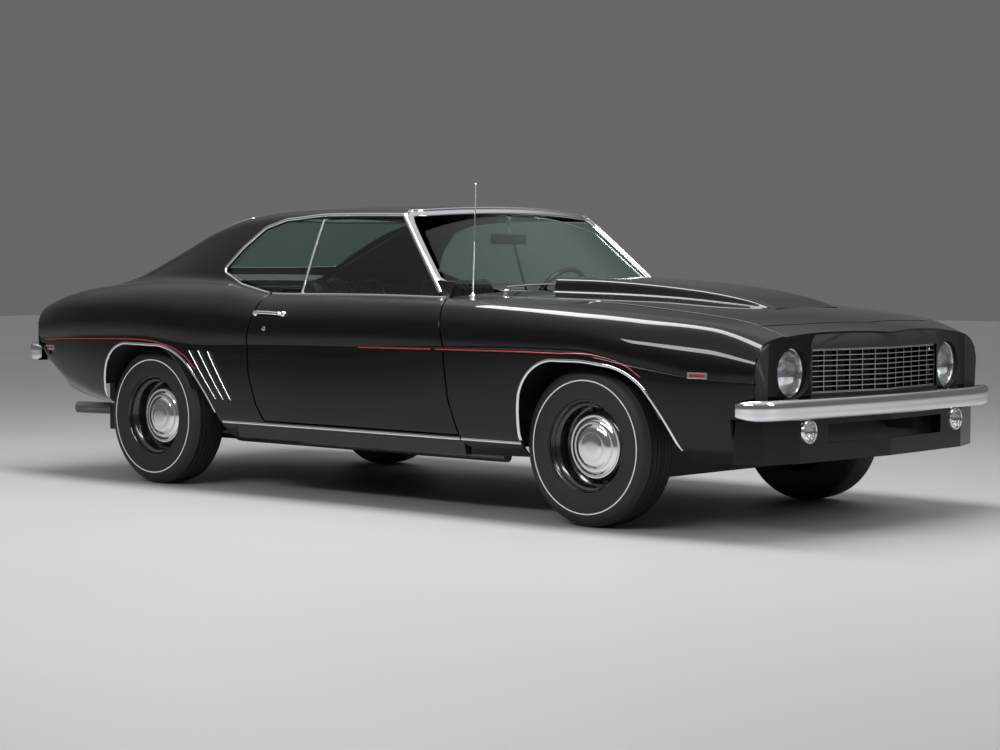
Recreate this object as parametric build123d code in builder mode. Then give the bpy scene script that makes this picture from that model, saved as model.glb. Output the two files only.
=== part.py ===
from build123d import *
import math
import os

os.makedirs("parts", exist_ok=True)

# A two-door hardtop coupe. +X points forward, +Y to the car's left, +Z up.
# The ground is Z = 0, and the origin lies below the middle of the car. All sizes are in millimetres.

# ---------------------------------------------------------------- driving dimensions
WHEELBASE = 2746
FRONT_AXLE_X = 1402
REAR_AXLE_X = FRONT_AXLE_X - WHEELBASE
WHEEL_Y = 757
TYRE_RADIUS = 330
TYRE_WIDTH = 206
TREAD_WIDTH = 80
RIM_RADIUS = 192
RIM_WIDTH = 150
RIM_WALL = 9
CAP_RADIUS = 132
CAP_DOME = 21
HUB_FACE = 16
KINGPIN_Y = 690

SEAT_GAP = 0.3
RUNNING_GAP = 6
PANEL_GAP = 7
SKIN = 10
EDGE_SKIN = 5
GILL_DEPTH = 5
FRAME_SHEET = 15

ROOF_Z = 1352
ROOF_SKIN = 28
GLASS = 5
GLASS_INSET = 12

DOOR_LAYER = 36
DOOR_INNER_Y = 775
DOOR_PIN_X = 585
DOOR_PIN_Y = 878
HINGE_PIN_RADIUS = 8
HINGE_LEVELS = (480, 780)
HINGE_TALL = 40
POST_INNER_Y = 690
POST_OUTER_Y = 738
SILL_TOP_Z = 350

FIREWALL_X = 640
HOOD_REAR_X = 740
HOOD_HALF_REAR = 655
HOOD_HALF_FRONT = 610
HOOD_FRONT_X = 2105
DECK_FRONT_X = -1655
DECK_REAR_X = -2215
DECK_HALF = 600

FLOOR_Z = 262
FLOOR_SHEET = 12
TUNNEL_HALF = 130
TUNNEL_TOP_Z = 420
TRUNK_FLOOR_Z = 470
BULKHEAD_X = -1165
FLOOR_HALF_REAR = 584
SHELF_Z = 940

BUMPER_LOW_Z = 472
BUMPER_HIGH_Z = 556
REAR_BUMPER_LOW_Z = 578
REAR_BUMPER_HIGH_Z = 664
HEADLAMP_X = 2206
HEADLAMP_Y = 570
HEADLAMP_Z = 652
HEADLAMP_HOLE = 100
PARKING_Y = 545
PARKING_Z = 423
PARKING_RADIUS = 48
GRILLE_HALF = 462
GRILLE_LOW_Z = 566
GRILLE_HIGH_Z = 744
GRILLE_DEPTH = 30
GRILLE_ROWS = 8
GRILLE_CELLS = 6
GRILLE_BAR = 6

STEER_HUB = (212, 370, 876)
STEER_RIM = 185
SEAT_Y = 390
SEAT_WIDTH = 500
SPRING_Y = 548
PIPE_Y = 450

# Outer limits that cutting forms reach past, so that each cut goes right through.
FAR_SIDE = 1000
FAR_LOW = 100
FAR_HIGH = 1400

# Body cross-sections from tail to nose: half-widths (y) and heights (z) along the side and over the top.
STATION_COLUMNS = ("x", "z_sill", "y_sill", "z_low", "y_low", "y_belly", "z_crease", "y_crease", "ledge",
                   "y_shoulder", "y_peak", "z_peak", "z_centre")
BODY_STATIONS = [
    (-2340, 600, 780, 640, 812, 822, 688, 826, 1, 815, 700, 842, 880),
    (-2230, 560, 800, 600, 835, 848, 688, 852, 2, 842, 728, 885, 914),
    (-2050, 440, 800, 500, 848, 876, 692, 886, 5, 878, 742, 928, 948),
    (-1800, 385, 800, 430, 866, 904, 699, 918, 10, 905, 752, 962, 976),
    (-1344, 330, 810, 370, 900, 932, 705, 940, 12, 920, 765, 990, 996),
    (-900, 262, 830, 330, 892, 918, 690, 922, 1, 908, 790, 984, 990),
    (-500, 262, 830, 330, 886, 906, 700, 908, 1, 895, 805, 936, 962),
    (0, 262, 830, 330, 884, 900, 706, 900, 1, 888, 812, 938, 962),
    (640, 262, 830, 330, 886, 906, 711, 912, 9, 890, 832, 927, 960),
    (1100, 270, 830, 340, 896, 920, 714, 930, 14, 900, 836, 911, 953),
    (1402, 285, 820, 350, 896, 924, 712, 936, 14, 905, 832, 897, 941),
    (1700, 290, 800, 350, 872, 905, 668, 914, 6, 892, 820, 874, 918),
    (2000, 292, 760, 350, 830, 862, 630, 872, 1, 852, 796, 842, 884),
    (2230, 296, 700, 350, 770, 806, 620, 820, 1, 806, 742, 776, 836),
    (2340, 300, 660, 350, 735, 770, 615, 786, 1, 776, 700, 730, 796),
]
SHOULDER_RISE = 0.62

# Roof cross-sections from tail to windscreen: the side glass leans in from the base to the rail.
ROOF_COLUMNS = ("x", "y_base", "y_rail", "z_rail", "y_crown", "z_crown", "top_drop")
ROOF_STATIONS = [
    (-1900, 742, 560, 1240, 480, 1290, 44),
    (-1300, 790, 612, 1262, 530, 1311, 14),
    (-600, 808, 648, 1275, 560, 1322, 0),
    (100, 808, 650, 1278, 560, 1318, 12),
    (800, 802, 640, 1262, 550, 1290, 48),
]
ROOF_BASE_Z = 900

# Outlines in side view, as (x, z).
DOOR_FRONT_EDGE = [(585, 1000), (588, 926), (625, 810), (651, 714), (676, 501), (727, SILL_TOP_Z)]
DOOR_REAR_EDGE = [(-499, SILL_TOP_Z), (-544, 424), (-583, 562), (-593, 715), (-561, 839), (-545, 1000)]
DOOR_OUTLINE = DOOR_FRONT_EDGE + DOOR_REAR_EDGE
DOOR_GLASS_OUTLINE = [
    (492, 955), (168, 1276), (-330, 1283), (-352, 1266), (-352, 948), (-480, 948), (-480, 922), (480, 932),
]
QUARTER_GLASS_OUTLINE = [
    (-364, 1283), (-600, 1264), (-735, 1226), (-850, 1138), (-925, 1040), (-779, 990), (-492, 930), (-492, 958),
    (-364, 958),
]
SIDE_WINDOW_OPENING = [
    (505, 900), (505, 945), (176, 1272), (168, 1282), (-370, 1288), (-605, 1270), (-742, 1232), (-856, 1140),
    (-934, 1038), (-779, 982), (-503, 926), (-480, 900),
]
# Wheel arches as offsets from their axle's centre, from the front foot over the top to the rear foot:
# foot, arc, arc, flat top, arc, arc, foot.
REAR_ARCH = [(560, -180), (549, -31), (478, 100), (342, 263), (250, 322), (77, 352), (-79, 355), (-215, 320),
             (-285, 235), (-318, 140), (-330, 20), (-330, -180)]
FRONT_ARCH = [(500, -180), (495, -10), (425, 140), (338, 259), (245, 320), (133, 345), (-86, 355), (-240, 308),
              (-308, 210), (-321, 90), (-316, -10), (-312, -180)]
# Three slanted gills behind each door, as the x of their upper and lower ends.
GILL_ENDS = [(-985, -816), (-922, -766), (-859, -716)]
GILL_WIDTH = 24
GILL_TOP_Z = 660
GILL_LOW_Z = 437

# Outlines in plan, as (x, y).
NOSE_OUTLINE = [(2600, -1), (2318, -1), (2318, 0), (2240, 500), (2222, 700), (2228, 830), (2205, FAR_SIDE),
                (2600, FAR_SIDE)]
TAIL_OUTLINE = [(-2215, 930), (-2262, 868), (-2292, 700), (-2292, FAR_LOW), (-2600, FAR_LOW), (-2600, 1100),
                (-2180, 1100)]
TAIL_FACE_X = TAIL_OUTLINE[2][0]
HOOD_NOSE = [(2150, -400), (2205, 0), (2150, 400)]
HOOD_PLAN = [(HOOD_REAR_X, -HOOD_HALF_REAR), (HOOD_FRONT_X, -HOOD_HALF_FRONT), *HOOD_NOSE,
             (HOOD_FRONT_X, HOOD_HALF_FRONT), (HOOD_REAR_X, HOOD_HALF_REAR)]
DECK_PLAN = [(DECK_FRONT_X, -DECK_HALF), (DECK_REAR_X, -DECK_HALF), (DECK_REAR_X, DECK_HALF),
             (DECK_FRONT_X, DECK_HALF)]
SCREEN_PLAN = [(270, 0), (250, 600), (560, 742), (650, 500), (668, 0), (650, -500), (560, -742), (250, -600)]
REAR_WINDOW_PLAN = [(-955, 0), (-935, 560), (-1560, 590), (-1592, 0), (-1560, -590), (-935, -560)]
CABIN_PLAN = [(-1500, 0), (-1500, 740), (-1000, 768), (560, 768), (600, 600), (640, 0)]
ROOF_PROFILE = [(900, 880), (900, 1400), (-850, 1400), (-905, 1312), (-1130, 1238), (-1380, 1136), (-1640, 1013),
                (-1790, 940), (-1850, 880)]
BACK_GLASS_LINE = [(-900, 1302), (-1660, 992.8), (-1658, 988), (-898, 1297)]
WINDOW_BASE_Z = 985

# Windscreen: a tall cylinder face laid back along the screen's slope, from (x, z) to (x, z).
SCREEN_BASE = (700, 960)
SCREEN_TOP = (262, 1318)
SCREEN_RADIUS = 2600
SCREEN_HALF = 1000
SCREEN_BEHIND = 3500
SCREEN_BELOW = 700


# ---------------------------------------------------------------- forms that several panels share
def across(x):
    """The plane of a cross-section at x, with its own x along +Y and its y up."""
    return Plane(origin=(x, 0, 0), x_dir=(0, 1, 0), z_dir=(1, 0, 0))


def crown_middle(side, centre):
    """The point half way along the arc from `side` to `centre`, level where it meets the middle plane."""
    sag = centre[1] - side[1]
    radius = (side[0] ** 2 + sag ** 2) / (2 * sag)
    half_way = side[0] / 2
    return half_way, centre[1] - radius + math.sqrt(radius ** 2 - half_way ** 2)


def body_loft(inset=0, floor=None):
    """The left half of the lower body's form, moved in by `inset`, with its foot at `floor` if given."""
    with BuildPart() as form:
        for values in BODY_STATIONS:
            row = dict(zip(STATION_COLUMNS, values))
            foot = row["z_sill"] if floor is None else floor
            rise = SHOULDER_RISE * (row["z_peak"] - row["z_crease"])
            sill = (row["y_sill"] - inset, foot)
            low = (row["y_low"] - inset, row["z_low"])
            belly = (row["y_belly"] - inset, (row["z_low"] + row["z_crease"]) / 2)
            crease = (row["y_crease"] - inset, row["z_crease"])
            ledge = (row["y_crease"] - row["ledge"] - inset, row["z_crease"] + row["ledge"])
            shoulder = (row["y_shoulder"] - inset, row["z_crease"] + rise)
            peak = (row["y_peak"] - inset, row["z_peak"] - inset)
            centre = (0, row["z_centre"] - inset)
            with BuildSketch(across(row["x"])):
                with BuildLine():
                    Line((0, foot), sill)
                    Line(sill, low)
                    ThreePointArc(low, belly, crease)
                    Line(crease, ledge)
                    ThreePointArc(ledge, shoulder, peak)
                    ThreePointArc(peak, crown_middle(peak, centre), centre)
                    Line(centre, (0, foot))
                make_face()
        loft(ruled=True)
    return form.part


def roof_loft(inset=0):
    """The left half of the roof and side glass form, from the belt to the crown."""
    with BuildPart() as form:
        for values in ROOF_STATIONS:
            row = dict(zip(ROOF_COLUMNS, values))
            base = (row["y_base"] - inset, ROOF_BASE_Z)
            rail = (row["y_rail"] - inset, row["z_rail"])
            crown = (row["y_crown"] - inset, row["z_crown"] - inset)
            bend = ((rail[0] + crown[0]) / 2 + 15, (rail[1] + crown[1]) / 2 + 12)
            top = (0, ROOF_Z - row["top_drop"] - inset)
            with BuildSketch(across(row["x"])):
                with BuildLine():
                    Line((0, ROOF_BASE_Z), base)
                    Line(base, rail)
                    ThreePointArc(rail, bend, crown)
                    ThreePointArc(crown, crown_middle(crown, top), top)
                    Line(top, (0, ROOF_BASE_Z))
                make_face()
        loft(ruled=True)
    return form.part


def side_prism(points, near=FAR_SIDE, far=-1, grow=0):
    """An outline in side view, grown by `grow` and extruded in Y from near to far."""
    with BuildPart() as prism:
        with BuildSketch(Plane(origin=(0, near, 0), x_dir=(1, 0, 0), z_dir=(0, -1, 0))):
            with BuildLine():
                Polyline(*points, close=True)
            make_face()
            if grow:
                offset(amount=grow, kind=Kind.INTERSECTION)
        extrude(amount=near - far)
    return prism.part


def plan_prism(points, low, high, grow=0):
    """An outline in plan, grown by `grow` and extruded in Z from low to high."""
    with BuildPart() as prism:
        with BuildSketch(Plane.XY.offset(low)):
            with BuildLine():
                Polyline(*points, close=True)
            make_face()
            if grow:
                offset(amount=grow, kind=Kind.INTERSECTION)
        extrude(amount=high - low)
    return prism.part


def arch_prism(offsets, axle_x):
    """A wheel opening: straight feet and top, with arcs at the corners and down the long front slope."""
    p = [(axle_x + along, TYRE_RADIUS + up) for along, up in offsets]
    with BuildPart() as prism:
        with BuildSketch(Plane(origin=(0, FAR_SIDE, 0), x_dir=(1, 0, 0), z_dir=(0, -1, 0))):
            with BuildLine():
                Line(p[0], p[1])
                ThreePointArc(p[1], p[2], p[3])
                ThreePointArc(p[3], p[4], p[5])
                Line(p[5], p[6])
                ThreePointArc(p[6], p[7], p[8])
                ThreePointArc(p[8], p[9], p[10])
                Line(p[10], p[11])
                Line(p[11], p[0])
            make_face()
        extrude(amount=FAR_SIDE - WHEEL_Y + TYRE_WIDTH)
    return prism.part


def block(x0, x1, y0, y1, z0, z1):
    """A block between two corners."""
    with BuildPart(Plane(origin=(x0, y0, z0))) as box:
        Box(x1 - x0, y1 - y0, z1 - z0, align=Align.MIN)
    return box.part


def bar(start, end, radius):
    """A round bar from one point to another."""
    run = Vector(*end) - Vector(*start)
    with BuildPart(Plane(origin=start, z_dir=run.normalized())) as rod:
        Cylinder(radius, run.length, align=(Align.CENTER, Align.CENTER, Align.MIN))
    return rod.part


def pipe(points, radius, bend):
    """A pipe along straight runs joined by bends."""
    with BuildPart() as run:
        with BuildLine() as route:
            FilletPolyline(*points, radius=bend)
        with BuildSketch(Plane(origin=points[0], z_dir=Vector(*points[1]) - Vector(*points[0]))):
            Circle(radius)
        sweep(path=route.line)
    return run.part


def drum_y(x, y0, y1, z, radius):
    """A disc or drum along Y."""
    return bar((x, y0, z), (x, y1, z), radius)


def arched_sheet(x, y0, y1, radius, sheet):
    """A half-round wheelhouse sheet about an axle."""
    with BuildPart(Plane(origin=(x, y0, TYRE_RADIUS), x_dir=(1, 0, 0), z_dir=(0, 1, 0))) as house:
        Cylinder(radius + sheet, y1 - y0, align=(Align.CENTER, Align.CENTER, Align.MIN))
        with Locations((0, 0, sheet)):
            Cylinder(radius, y1 - y0, align=(Align.CENTER, Align.CENTER, Align.MIN), mode=Mode.SUBTRACT)
    return house.part


def screen_form(inset):
    """Everything behind the curved windscreen face, set back by `inset`."""
    slope = Vector(SCREEN_TOP[0] - SCREEN_BASE[0], 0, SCREEN_TOP[1] - SCREEN_BASE[1]).normalized()
    normal = Vector(slope.Z, 0, -slope.X)
    start = Vector(SCREEN_BASE[0], 0, SCREEN_BASE[1]) - slope * SCREEN_BELOW - normal * inset
    sag = SCREEN_RADIUS - math.sqrt(SCREEN_RADIUS ** 2 - SCREEN_HALF ** 2)
    side = 1 if Vector(0, 1, 0).cross(normal).dot(slope) > 0 else -1
    left, right = (-SCREEN_HALF, -sag * side), (SCREEN_HALF, -sag * side)
    with BuildPart() as form:
        with BuildSketch(Plane(origin=start, x_dir=(0, 1, 0), z_dir=slope)):
            with BuildLine():
                ThreePointArc(left, (0, 0), right)
                Polyline(right, (SCREEN_HALF, -SCREEN_BEHIND * side), (-SCREEN_HALF, -SCREEN_BEHIND * side), left)
            make_face()
        extrude(amount=SCREEN_BEHIND)
    return form.part


def bumper_blade(points, depth, low, high):
    """A bumper blade: an outline in plan, `depth` thick, set back towards its upper and lower edges."""
    with BuildPart() as blade:
        for level, setback in ((low, BUMPER_BEVEL), (low + BUMPER_ROUND, 0), (high - BUMPER_ROUND, 0),
                               (high, BUMPER_BEVEL)):
            front = [(x - math.copysign(setback, x), y) for x, y in points]
            back = [(x - math.copysign(depth, x), y) for x, y in reversed(points)]
            with BuildSketch(Plane.XY.offset(level)):
                with BuildLine():
                    Polyline(*front, *back, close=True)
                make_face()
        loft(ruled=True)
    return blade.part


def mirrored(part):
    return mirror(part, about=Plane.XZ)


def write(sub_part, name):
    sub_part.part.label = name
    export_step(sub_part.part, f"parts/{name}.step")


outer = body_loft()
inner = body_loft(inset=SKIN, floor=FAR_LOW)
inner_clear = body_loft(inset=SKIN + SEAT_GAP, floor=FAR_LOW)
core = body_loft(inset=SKIN / 2, floor=FAR_LOW)
lip_inner = body_loft(inset=EDGE_SKIN, floor=FAR_LOW)
door_inner = body_loft(inset=DOOR_LAYER, floor=FAR_LOW)
nose_cut = plan_prism(NOSE_OUTLINE, FAR_LOW, FAR_HIGH)
tail_cut = side_prism(TAIL_OUTLINE)
door_hole = side_prism(DOOR_OUTLINE, FAR_SIDE, DOOR_INNER_Y - PANEL_GAP, grow=PANEL_GAP)
hood_hole = plan_prism(HOOD_PLAN, 700, FAR_HIGH, grow=PANEL_GAP)
deck_hole = plan_prism(DECK_PLAN, 820, FAR_HIGH, grow=PANEL_GAP)
front_arch = arch_prism(FRONT_ARCH, FRONT_AXLE_X)
fender_side = DOOR_FRONT_EDGE + [(760, 200), (2500, 200), (2500, 1000)]

with BuildPart() as body_form:
    add(outer)
    add([nose_cut, tail_cut], mode=Mode.SUBTRACT)

with BuildPart() as body_skin:
    add(body_form.part)
    add(inner, mode=Mode.SUBTRACT)

with BuildPart() as roof_form:
    add(roof_loft())
    add(screen_form(0), mode=Mode.INTERSECT)
    add(side_prism(ROOF_PROFILE), mode=Mode.INTERSECT)

BACK_SHEET = 26
roof_void_profile = [(x + (0 if x > 0 else BACK_SHEET), z - (0 if z > ROOF_Z else BACK_SHEET / 2))
                     for x, z in ROOF_PROFILE]
with BuildPart() as roof_void:
    add(roof_loft(inset=ROOF_SKIN))
    add(screen_form(ROOF_SKIN), mode=Mode.INTERSECT)
    add(side_prism(roof_void_profile), mode=Mode.INTERSECT)

# ---------------------------------------------------------------- body shell: quarters, roof, cowl and tail
COWL_REAR_X = HOOD_REAR_X - PANEL_GAP
with BuildPart() as gills:
    for upper, lower in GILL_ENDS:
        add(side_prism([(upper, GILL_TOP_Z), (lower, GILL_LOW_Z), (lower + GILL_WIDTH, GILL_LOW_Z),
                        (upper + GILL_WIDTH, GILL_TOP_Z)], FAR_SIDE, DOOR_INNER_Y))
    add(body_loft(inset=GILL_DEPTH, floor=FAR_LOW), mode=Mode.SUBTRACT)

with BuildPart() as roof_panel:
    add(roof_form.part)
    add(roof_void.part, mode=Mode.SUBTRACT)
    add([core, side_prism(SIDE_WINDOW_OPENING, FAR_SIDE, 450), plan_prism(SCREEN_PLAN, WINDOW_BASE_Z, FAR_HIGH),
         plan_prism(REAR_WINDOW_PLAN, WINDOW_BASE_Z, FAR_HIGH),
         block(-2000, DECK_FRONT_X + 47, -1, DECK_HALF + PANEL_GAP, 880, 1100),
         block(-580, 660, DOOR_INNER_Y - PANEL_GAP, FAR_SIDE, 880, 943)], mode=Mode.SUBTRACT)

with BuildPart() as tail_face:
    add(core)
    add(nose_cut, mode=Mode.SUBTRACT)
    add(tail_cut, mode=Mode.SUBTRACT)
    add(side_prism([(x + 20, z) for x, z in TAIL_OUTLINE], 1100), mode=Mode.INTERSECT)
    add(block(-2400, -2100, 0, FAR_SIDE, 560, 860), mode=Mode.INTERSECT)

with BuildPart() as body_shell:
    add(body_skin.part)
    add([door_hole, deck_hole, arch_prism(REAR_ARCH, REAR_AXLE_X), plan_prism(CABIN_PLAN, 150, 1010),
         block(COWL_REAR_X, 2500, -20, HOOD_HALF_REAR + 20, FAR_LOW, 1100), gills.part], mode=Mode.SUBTRACT)
    add([roof_panel.part, tail_face.part])
    add(side_prism(fender_side, FAR_SIDE, HOOD_HALF_REAR), mode=Mode.SUBTRACT)
    add(side_prism([(-480, 900), (585, 900), (588, 926), (-480, 926)], FAR_SIDE, DOOR_INNER_Y - PANEL_GAP),
        mode=Mode.SUBTRACT)
    mirror(about=Plane.XZ)
write(body_shell, "body_shell")

# ---------------------------------------------------------------- inner structure behind the shell
with BuildPart() as front_frame:
    add([block(FIREWALL_X, FIREWALL_X + FRAME_SHEET, 0, POST_OUTER_Y, FLOOR_Z, 900),
         block(FIREWALL_X, HOOD_REAR_X + 24, 0, HOOD_HALF_REAR - 55, 890, 1000),
         block(DOOR_PIN_X - 17, FIREWALL_X + FRAME_SHEET, POST_INNER_Y, POST_OUTER_Y, FLOOR_Z + FLOOR_SHEET, 900),
         block(-700, 748, POST_OUTER_Y, 900, FLOOR_Z, SILL_TOP_Z - PANEL_GAP)])
    add(inner_clear, mode=Mode.INTERSECT)
    add(block(600, 700, -1, TUNNEL_HALF - FLOOR_SHEET, 200, TUNNEL_TOP_Z - FLOOR_SHEET), mode=Mode.SUBTRACT)
    for level in HINGE_LEVELS:
        add(block(DOOR_PIN_X - HINGE_PIN_RADIUS, DOOR_PIN_X + HINGE_PIN_RADIUS, POST_OUTER_Y, DOOR_PIN_Y,
                  level, level + HINGE_TALL))
        add(bar((DOOR_PIN_X, DOOR_PIN_Y, level), (DOOR_PIN_X, DOOR_PIN_Y, level + HINGE_TALL), HINGE_PIN_RADIUS))

with BuildPart() as rear_frame:
    add([block(BULKHEAD_X - FRAME_SHEET, BULKHEAD_X, 0, 578, TRUNK_FLOOR_Z + FLOOR_SHEET, SHELF_Z),
         block(-1640, BULKHEAD_X, 0, 765, SHELF_Z, SHELF_Z + FRAME_SHEET),
         block(DECK_FRONT_X - 24, DECK_FRONT_X + 47, 0, DECK_HALF - 40, SHELF_Z, 1010)])
    add(inner_clear, mode=Mode.INTERSECT)

with BuildPart() as inner_structure:
    add([front_frame.part, rear_frame.part])
    mirror(about=Plane.XZ)
write(inner_structure, "inner_structure")

# ---------------------------------------------------------------- doors
HANDLE = (-557, -343, 832, 852)
with BuildPart() as door_box:
    add(side_prism(DOOR_OUTLINE, FAR_SIDE, DOOR_INNER_Y, grow=-30))
    add(core, mode=Mode.INTERSECT)
    add(block(-800, DOOR_PIN_X - 25, DOOR_INNER_Y, FAR_SIDE, 200, FAR_HIGH), mode=Mode.INTERSECT)

with BuildPart() as door_left:
    add(body_form.part)
    add(door_inner, mode=Mode.SUBTRACT)
    add(side_prism(DOOR_OUTLINE, FAR_SIDE, DOOR_INNER_Y), mode=Mode.INTERSECT)
    add([door_box.part, block(HANDLE[0], HANDLE[1], 890, 928, HANDLE[2], HANDLE[3])])
    for level in HINGE_LEVELS:
        add(block(DOOR_PIN_X - 27, DOOR_PIN_X + 175, 700, DOOR_PIN_Y + HINGE_PIN_RADIUS + 1,
                  level - SEAT_GAP, level + HINGE_TALL + SEAT_GAP), mode=Mode.SUBTRACT)
write(door_left, "door_left")

with BuildPart() as door_right:
    add(mirrored(door_left.part))
write(door_right, "door_right")

# ---------------------------------------------------------------- glass
with BuildPart() as side_glass:
    add(roof_loft(inset=GLASS_INSET))
    add([roof_loft(inset=GLASS_INSET + GLASS), body_form.part], mode=Mode.SUBTRACT)

with BuildPart() as door_glass_left:
    add(side_glass.part)
    add(side_prism(DOOR_GLASS_OUTLINE, FAR_SIDE, 400), mode=Mode.INTERSECT)
write(door_glass_left, "door_glass_left")

with BuildPart() as door_glass_right:
    add(mirrored(door_glass_left.part))
write(door_glass_right, "door_glass_right")

with BuildPart() as quarter_glass:
    add(side_glass.part)
    add(side_prism(QUARTER_GLASS_OUTLINE, FAR_SIDE, 400), mode=Mode.INTERSECT)
    mirror(about=Plane.XZ)
write(quarter_glass, "quarter_glass")

with BuildPart() as windshield:
    add(screen_form(GLASS_INSET))
    add(screen_form(GLASS_INSET + GLASS), mode=Mode.SUBTRACT)
    add(plan_prism(SCREEN_PLAN, WINDOW_BASE_Z + SEAT_GAP, FAR_HIGH, grow=-SEAT_GAP), mode=Mode.INTERSECT)
write(windshield, "windshield")

with BuildPart() as back_glass:
    add(side_prism(BACK_GLASS_LINE, HOOD_HALF_REAR, -HOOD_HALF_REAR))
    add(plan_prism(REAR_WINDOW_PLAN, WINDOW_BASE_Z + 15, FAR_HIGH, grow=-SEAT_GAP), mode=Mode.INTERSECT)
write(back_glass, "back_glass")

# ---------------------------------------------------------------- hood with its scoop, and deck lid
# The scoop's sections from its open rear to its point: x, half-width, height.
SCOOP_SECTIONS = [(762, 300, 1020), (1100, 285, 1012), (1500, 265, 978), (1900, 235, 900)]
SCOOP_SHOULDER = (40, 22)
with BuildPart() as scoop:
    for x, half, top in SCOOP_SECTIONS:
        with BuildSketch(across(x)):
            with BuildLine():
                Polyline((0, 860), (half, 860), (half, top - SCOOP_SHOULDER[1]), (half - SCOOP_SHOULDER[0], top),
                         (0, top), close=True)
            make_face()
    loft(ruled=True)
    add(inner, mode=Mode.SUBTRACT)
    add(block(HOOD_REAR_X, 800, -1, 262, 968, 1006), mode=Mode.SUBTRACT)

with BuildPart() as hood:
    add(body_skin.part)
    add(plan_prism(HOOD_PLAN, 700, FAR_HIGH), mode=Mode.INTERSECT)
    add(scoop.part)
    mirror(about=Plane.XZ)
write(hood, "hood")

with BuildPart() as decklid:
    add(body_skin.part)
    add(plan_prism(DECK_PLAN, 820, FAR_HIGH), mode=Mode.INTERSECT)
    mirror(about=Plane.XZ)
write(decklid, "decklid")

# ---------------------------------------------------------------- front sheet metal
with BuildPart() as front_skin:
    add(body_skin.part)
    add(block(500, 2400, 0, FAR_SIDE, 200, FAR_HIGH), mode=Mode.INTERSECT)

with BuildPart() as nose_skin:
    add(core)
    add([nose_cut, tail_cut], mode=Mode.SUBTRACT)
    add(plan_prism([(x - 22, y) for x, y in NOSE_OUTLINE], FAR_LOW, FAR_HIGH), mode=Mode.INTERSECT)
    add(block(2100, 2400, 0, FAR_SIDE, 540, FAR_HIGH), mode=Mode.INTERSECT)
    add(front_skin.part)
    add(bar((2050, HEADLAMP_Y, HEADLAMP_Z), (2400, HEADLAMP_Y, HEADLAMP_Z), HEADLAMP_HOLE), mode=Mode.SUBTRACT)
    add(block(2100, 2400, -1, GRILLE_HALF, GRILLE_LOW_Z, GRILLE_HIGH_Z), mode=Mode.SUBTRACT)

FENDER_TOE_X = 2118
FENDER_PLAN = [(500, HOOD_HALF_REAR + PANEL_GAP), (HOOD_REAR_X, HOOD_HALF_REAR + PANEL_GAP),
               (HOOD_FRONT_X, HOOD_HALF_FRONT + PANEL_GAP), (2400, HOOD_HALF_FRONT + PANEL_GAP),
               (2400, FAR_SIDE), (500, FAR_SIDE)]
rear_lip = [(x - 5, z) for x, z in DOOR_FRONT_EDGE] + [(x + 45, z) for x, z in reversed(DOOR_FRONT_EDGE)]
with BuildPart() as lip_relief:
    add(lip_inner)
    add(side_prism(rear_lip, FAR_SIDE, 845), mode=Mode.INTERSECT)

with BuildPart() as fender_left:
    add(nose_skin.part)
    add(side_prism([(x + PANEL_GAP, z) for x, z in fender_side], FAR_SIDE, 450), mode=Mode.INTERSECT)
    add(plan_prism(FENDER_PLAN, 200, FAR_HIGH), mode=Mode.INTERSECT)
    add([front_arch, block(FENDER_TOE_X, 2500, 0, FAR_SIDE, FAR_LOW, BUMPER_LOW_Z + 4)], mode=Mode.SUBTRACT)
    add(lip_relief.part, mode=Mode.SUBTRACT)
write(fender_left, "fender_left")

with BuildPart() as fender_right:
    add(mirrored(fender_left.part))
write(fender_right, "fender_right")

NOSE_HALF = HOOD_HALF_FRONT + PANEL_GAP - SEAT_GAP
NOSE_PLAN = [(HOOD_FRONT_X, NOSE_HALF), (2400, NOSE_HALF), (2400, -NOSE_HALF), (HOOD_FRONT_X, -NOSE_HALF),
             *HOOD_NOSE]
with BuildPart() as nose_panel:
    add(nose_skin.part)
    add(plan_prism(NOSE_PLAN, 480, FAR_HIGH), mode=Mode.INTERSECT)
    add(hood_hole, mode=Mode.SUBTRACT)
    mirror(about=Plane.XZ)
write(nose_panel, "nose_panel")

# ---------------------------------------------------------------- grille and lamps
GRILLE_APEX_X = 2300
GRILLE_SIDE_X = 2236
grille_side = GRILLE_HALF - SEAT_GAP
grille_low = GRILLE_LOW_Z + 4
grille_high = GRILLE_HIGH_Z - 4
row_pitch = (grille_high - grille_low - GRILLE_BAR) / GRILLE_ROWS
column_pitch = (grille_side - GRILLE_BAR) / GRILLE_CELLS
with BuildPart() as grille:
    with BuildSketch(Plane.XY.offset(grille_low)):
        with BuildLine():
            Polyline((GRILLE_SIDE_X, -grille_side), (GRILLE_APEX_X, 0), (GRILLE_SIDE_X, grille_side),
                     (GRILLE_SIDE_X - GRILLE_DEPTH, grille_side), (GRILLE_APEX_X - GRILLE_DEPTH, 0),
                     (GRILLE_SIDE_X - GRILLE_DEPTH, -grille_side), close=True)
        make_face()
    extrude(amount=grille_high - grille_low)
    with BuildSketch(across(2100)):
        with Locations((0, (grille_low + grille_high) / 2)):
            with GridLocations(column_pitch, row_pitch, 2 * GRILLE_CELLS, GRILLE_ROWS):
                Rectangle(column_pitch - GRILLE_BAR, row_pitch - GRILLE_BAR)
    extrude(amount=300, mode=Mode.SUBTRACT)
write(grille, "grille")


# Each dome ends in a small flat at its middle.
DOME_FLAT = 8


def dome_drop(edge, rise, at):
    """How far a ball-shaped dome, `rise` high over a circle of radius `edge`, has dropped at radius `at`."""
    ball = (edge ** 2 + rise ** 2) / (2 * rise)
    return ball - math.sqrt(ball ** 2 - at ** 2)


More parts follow.
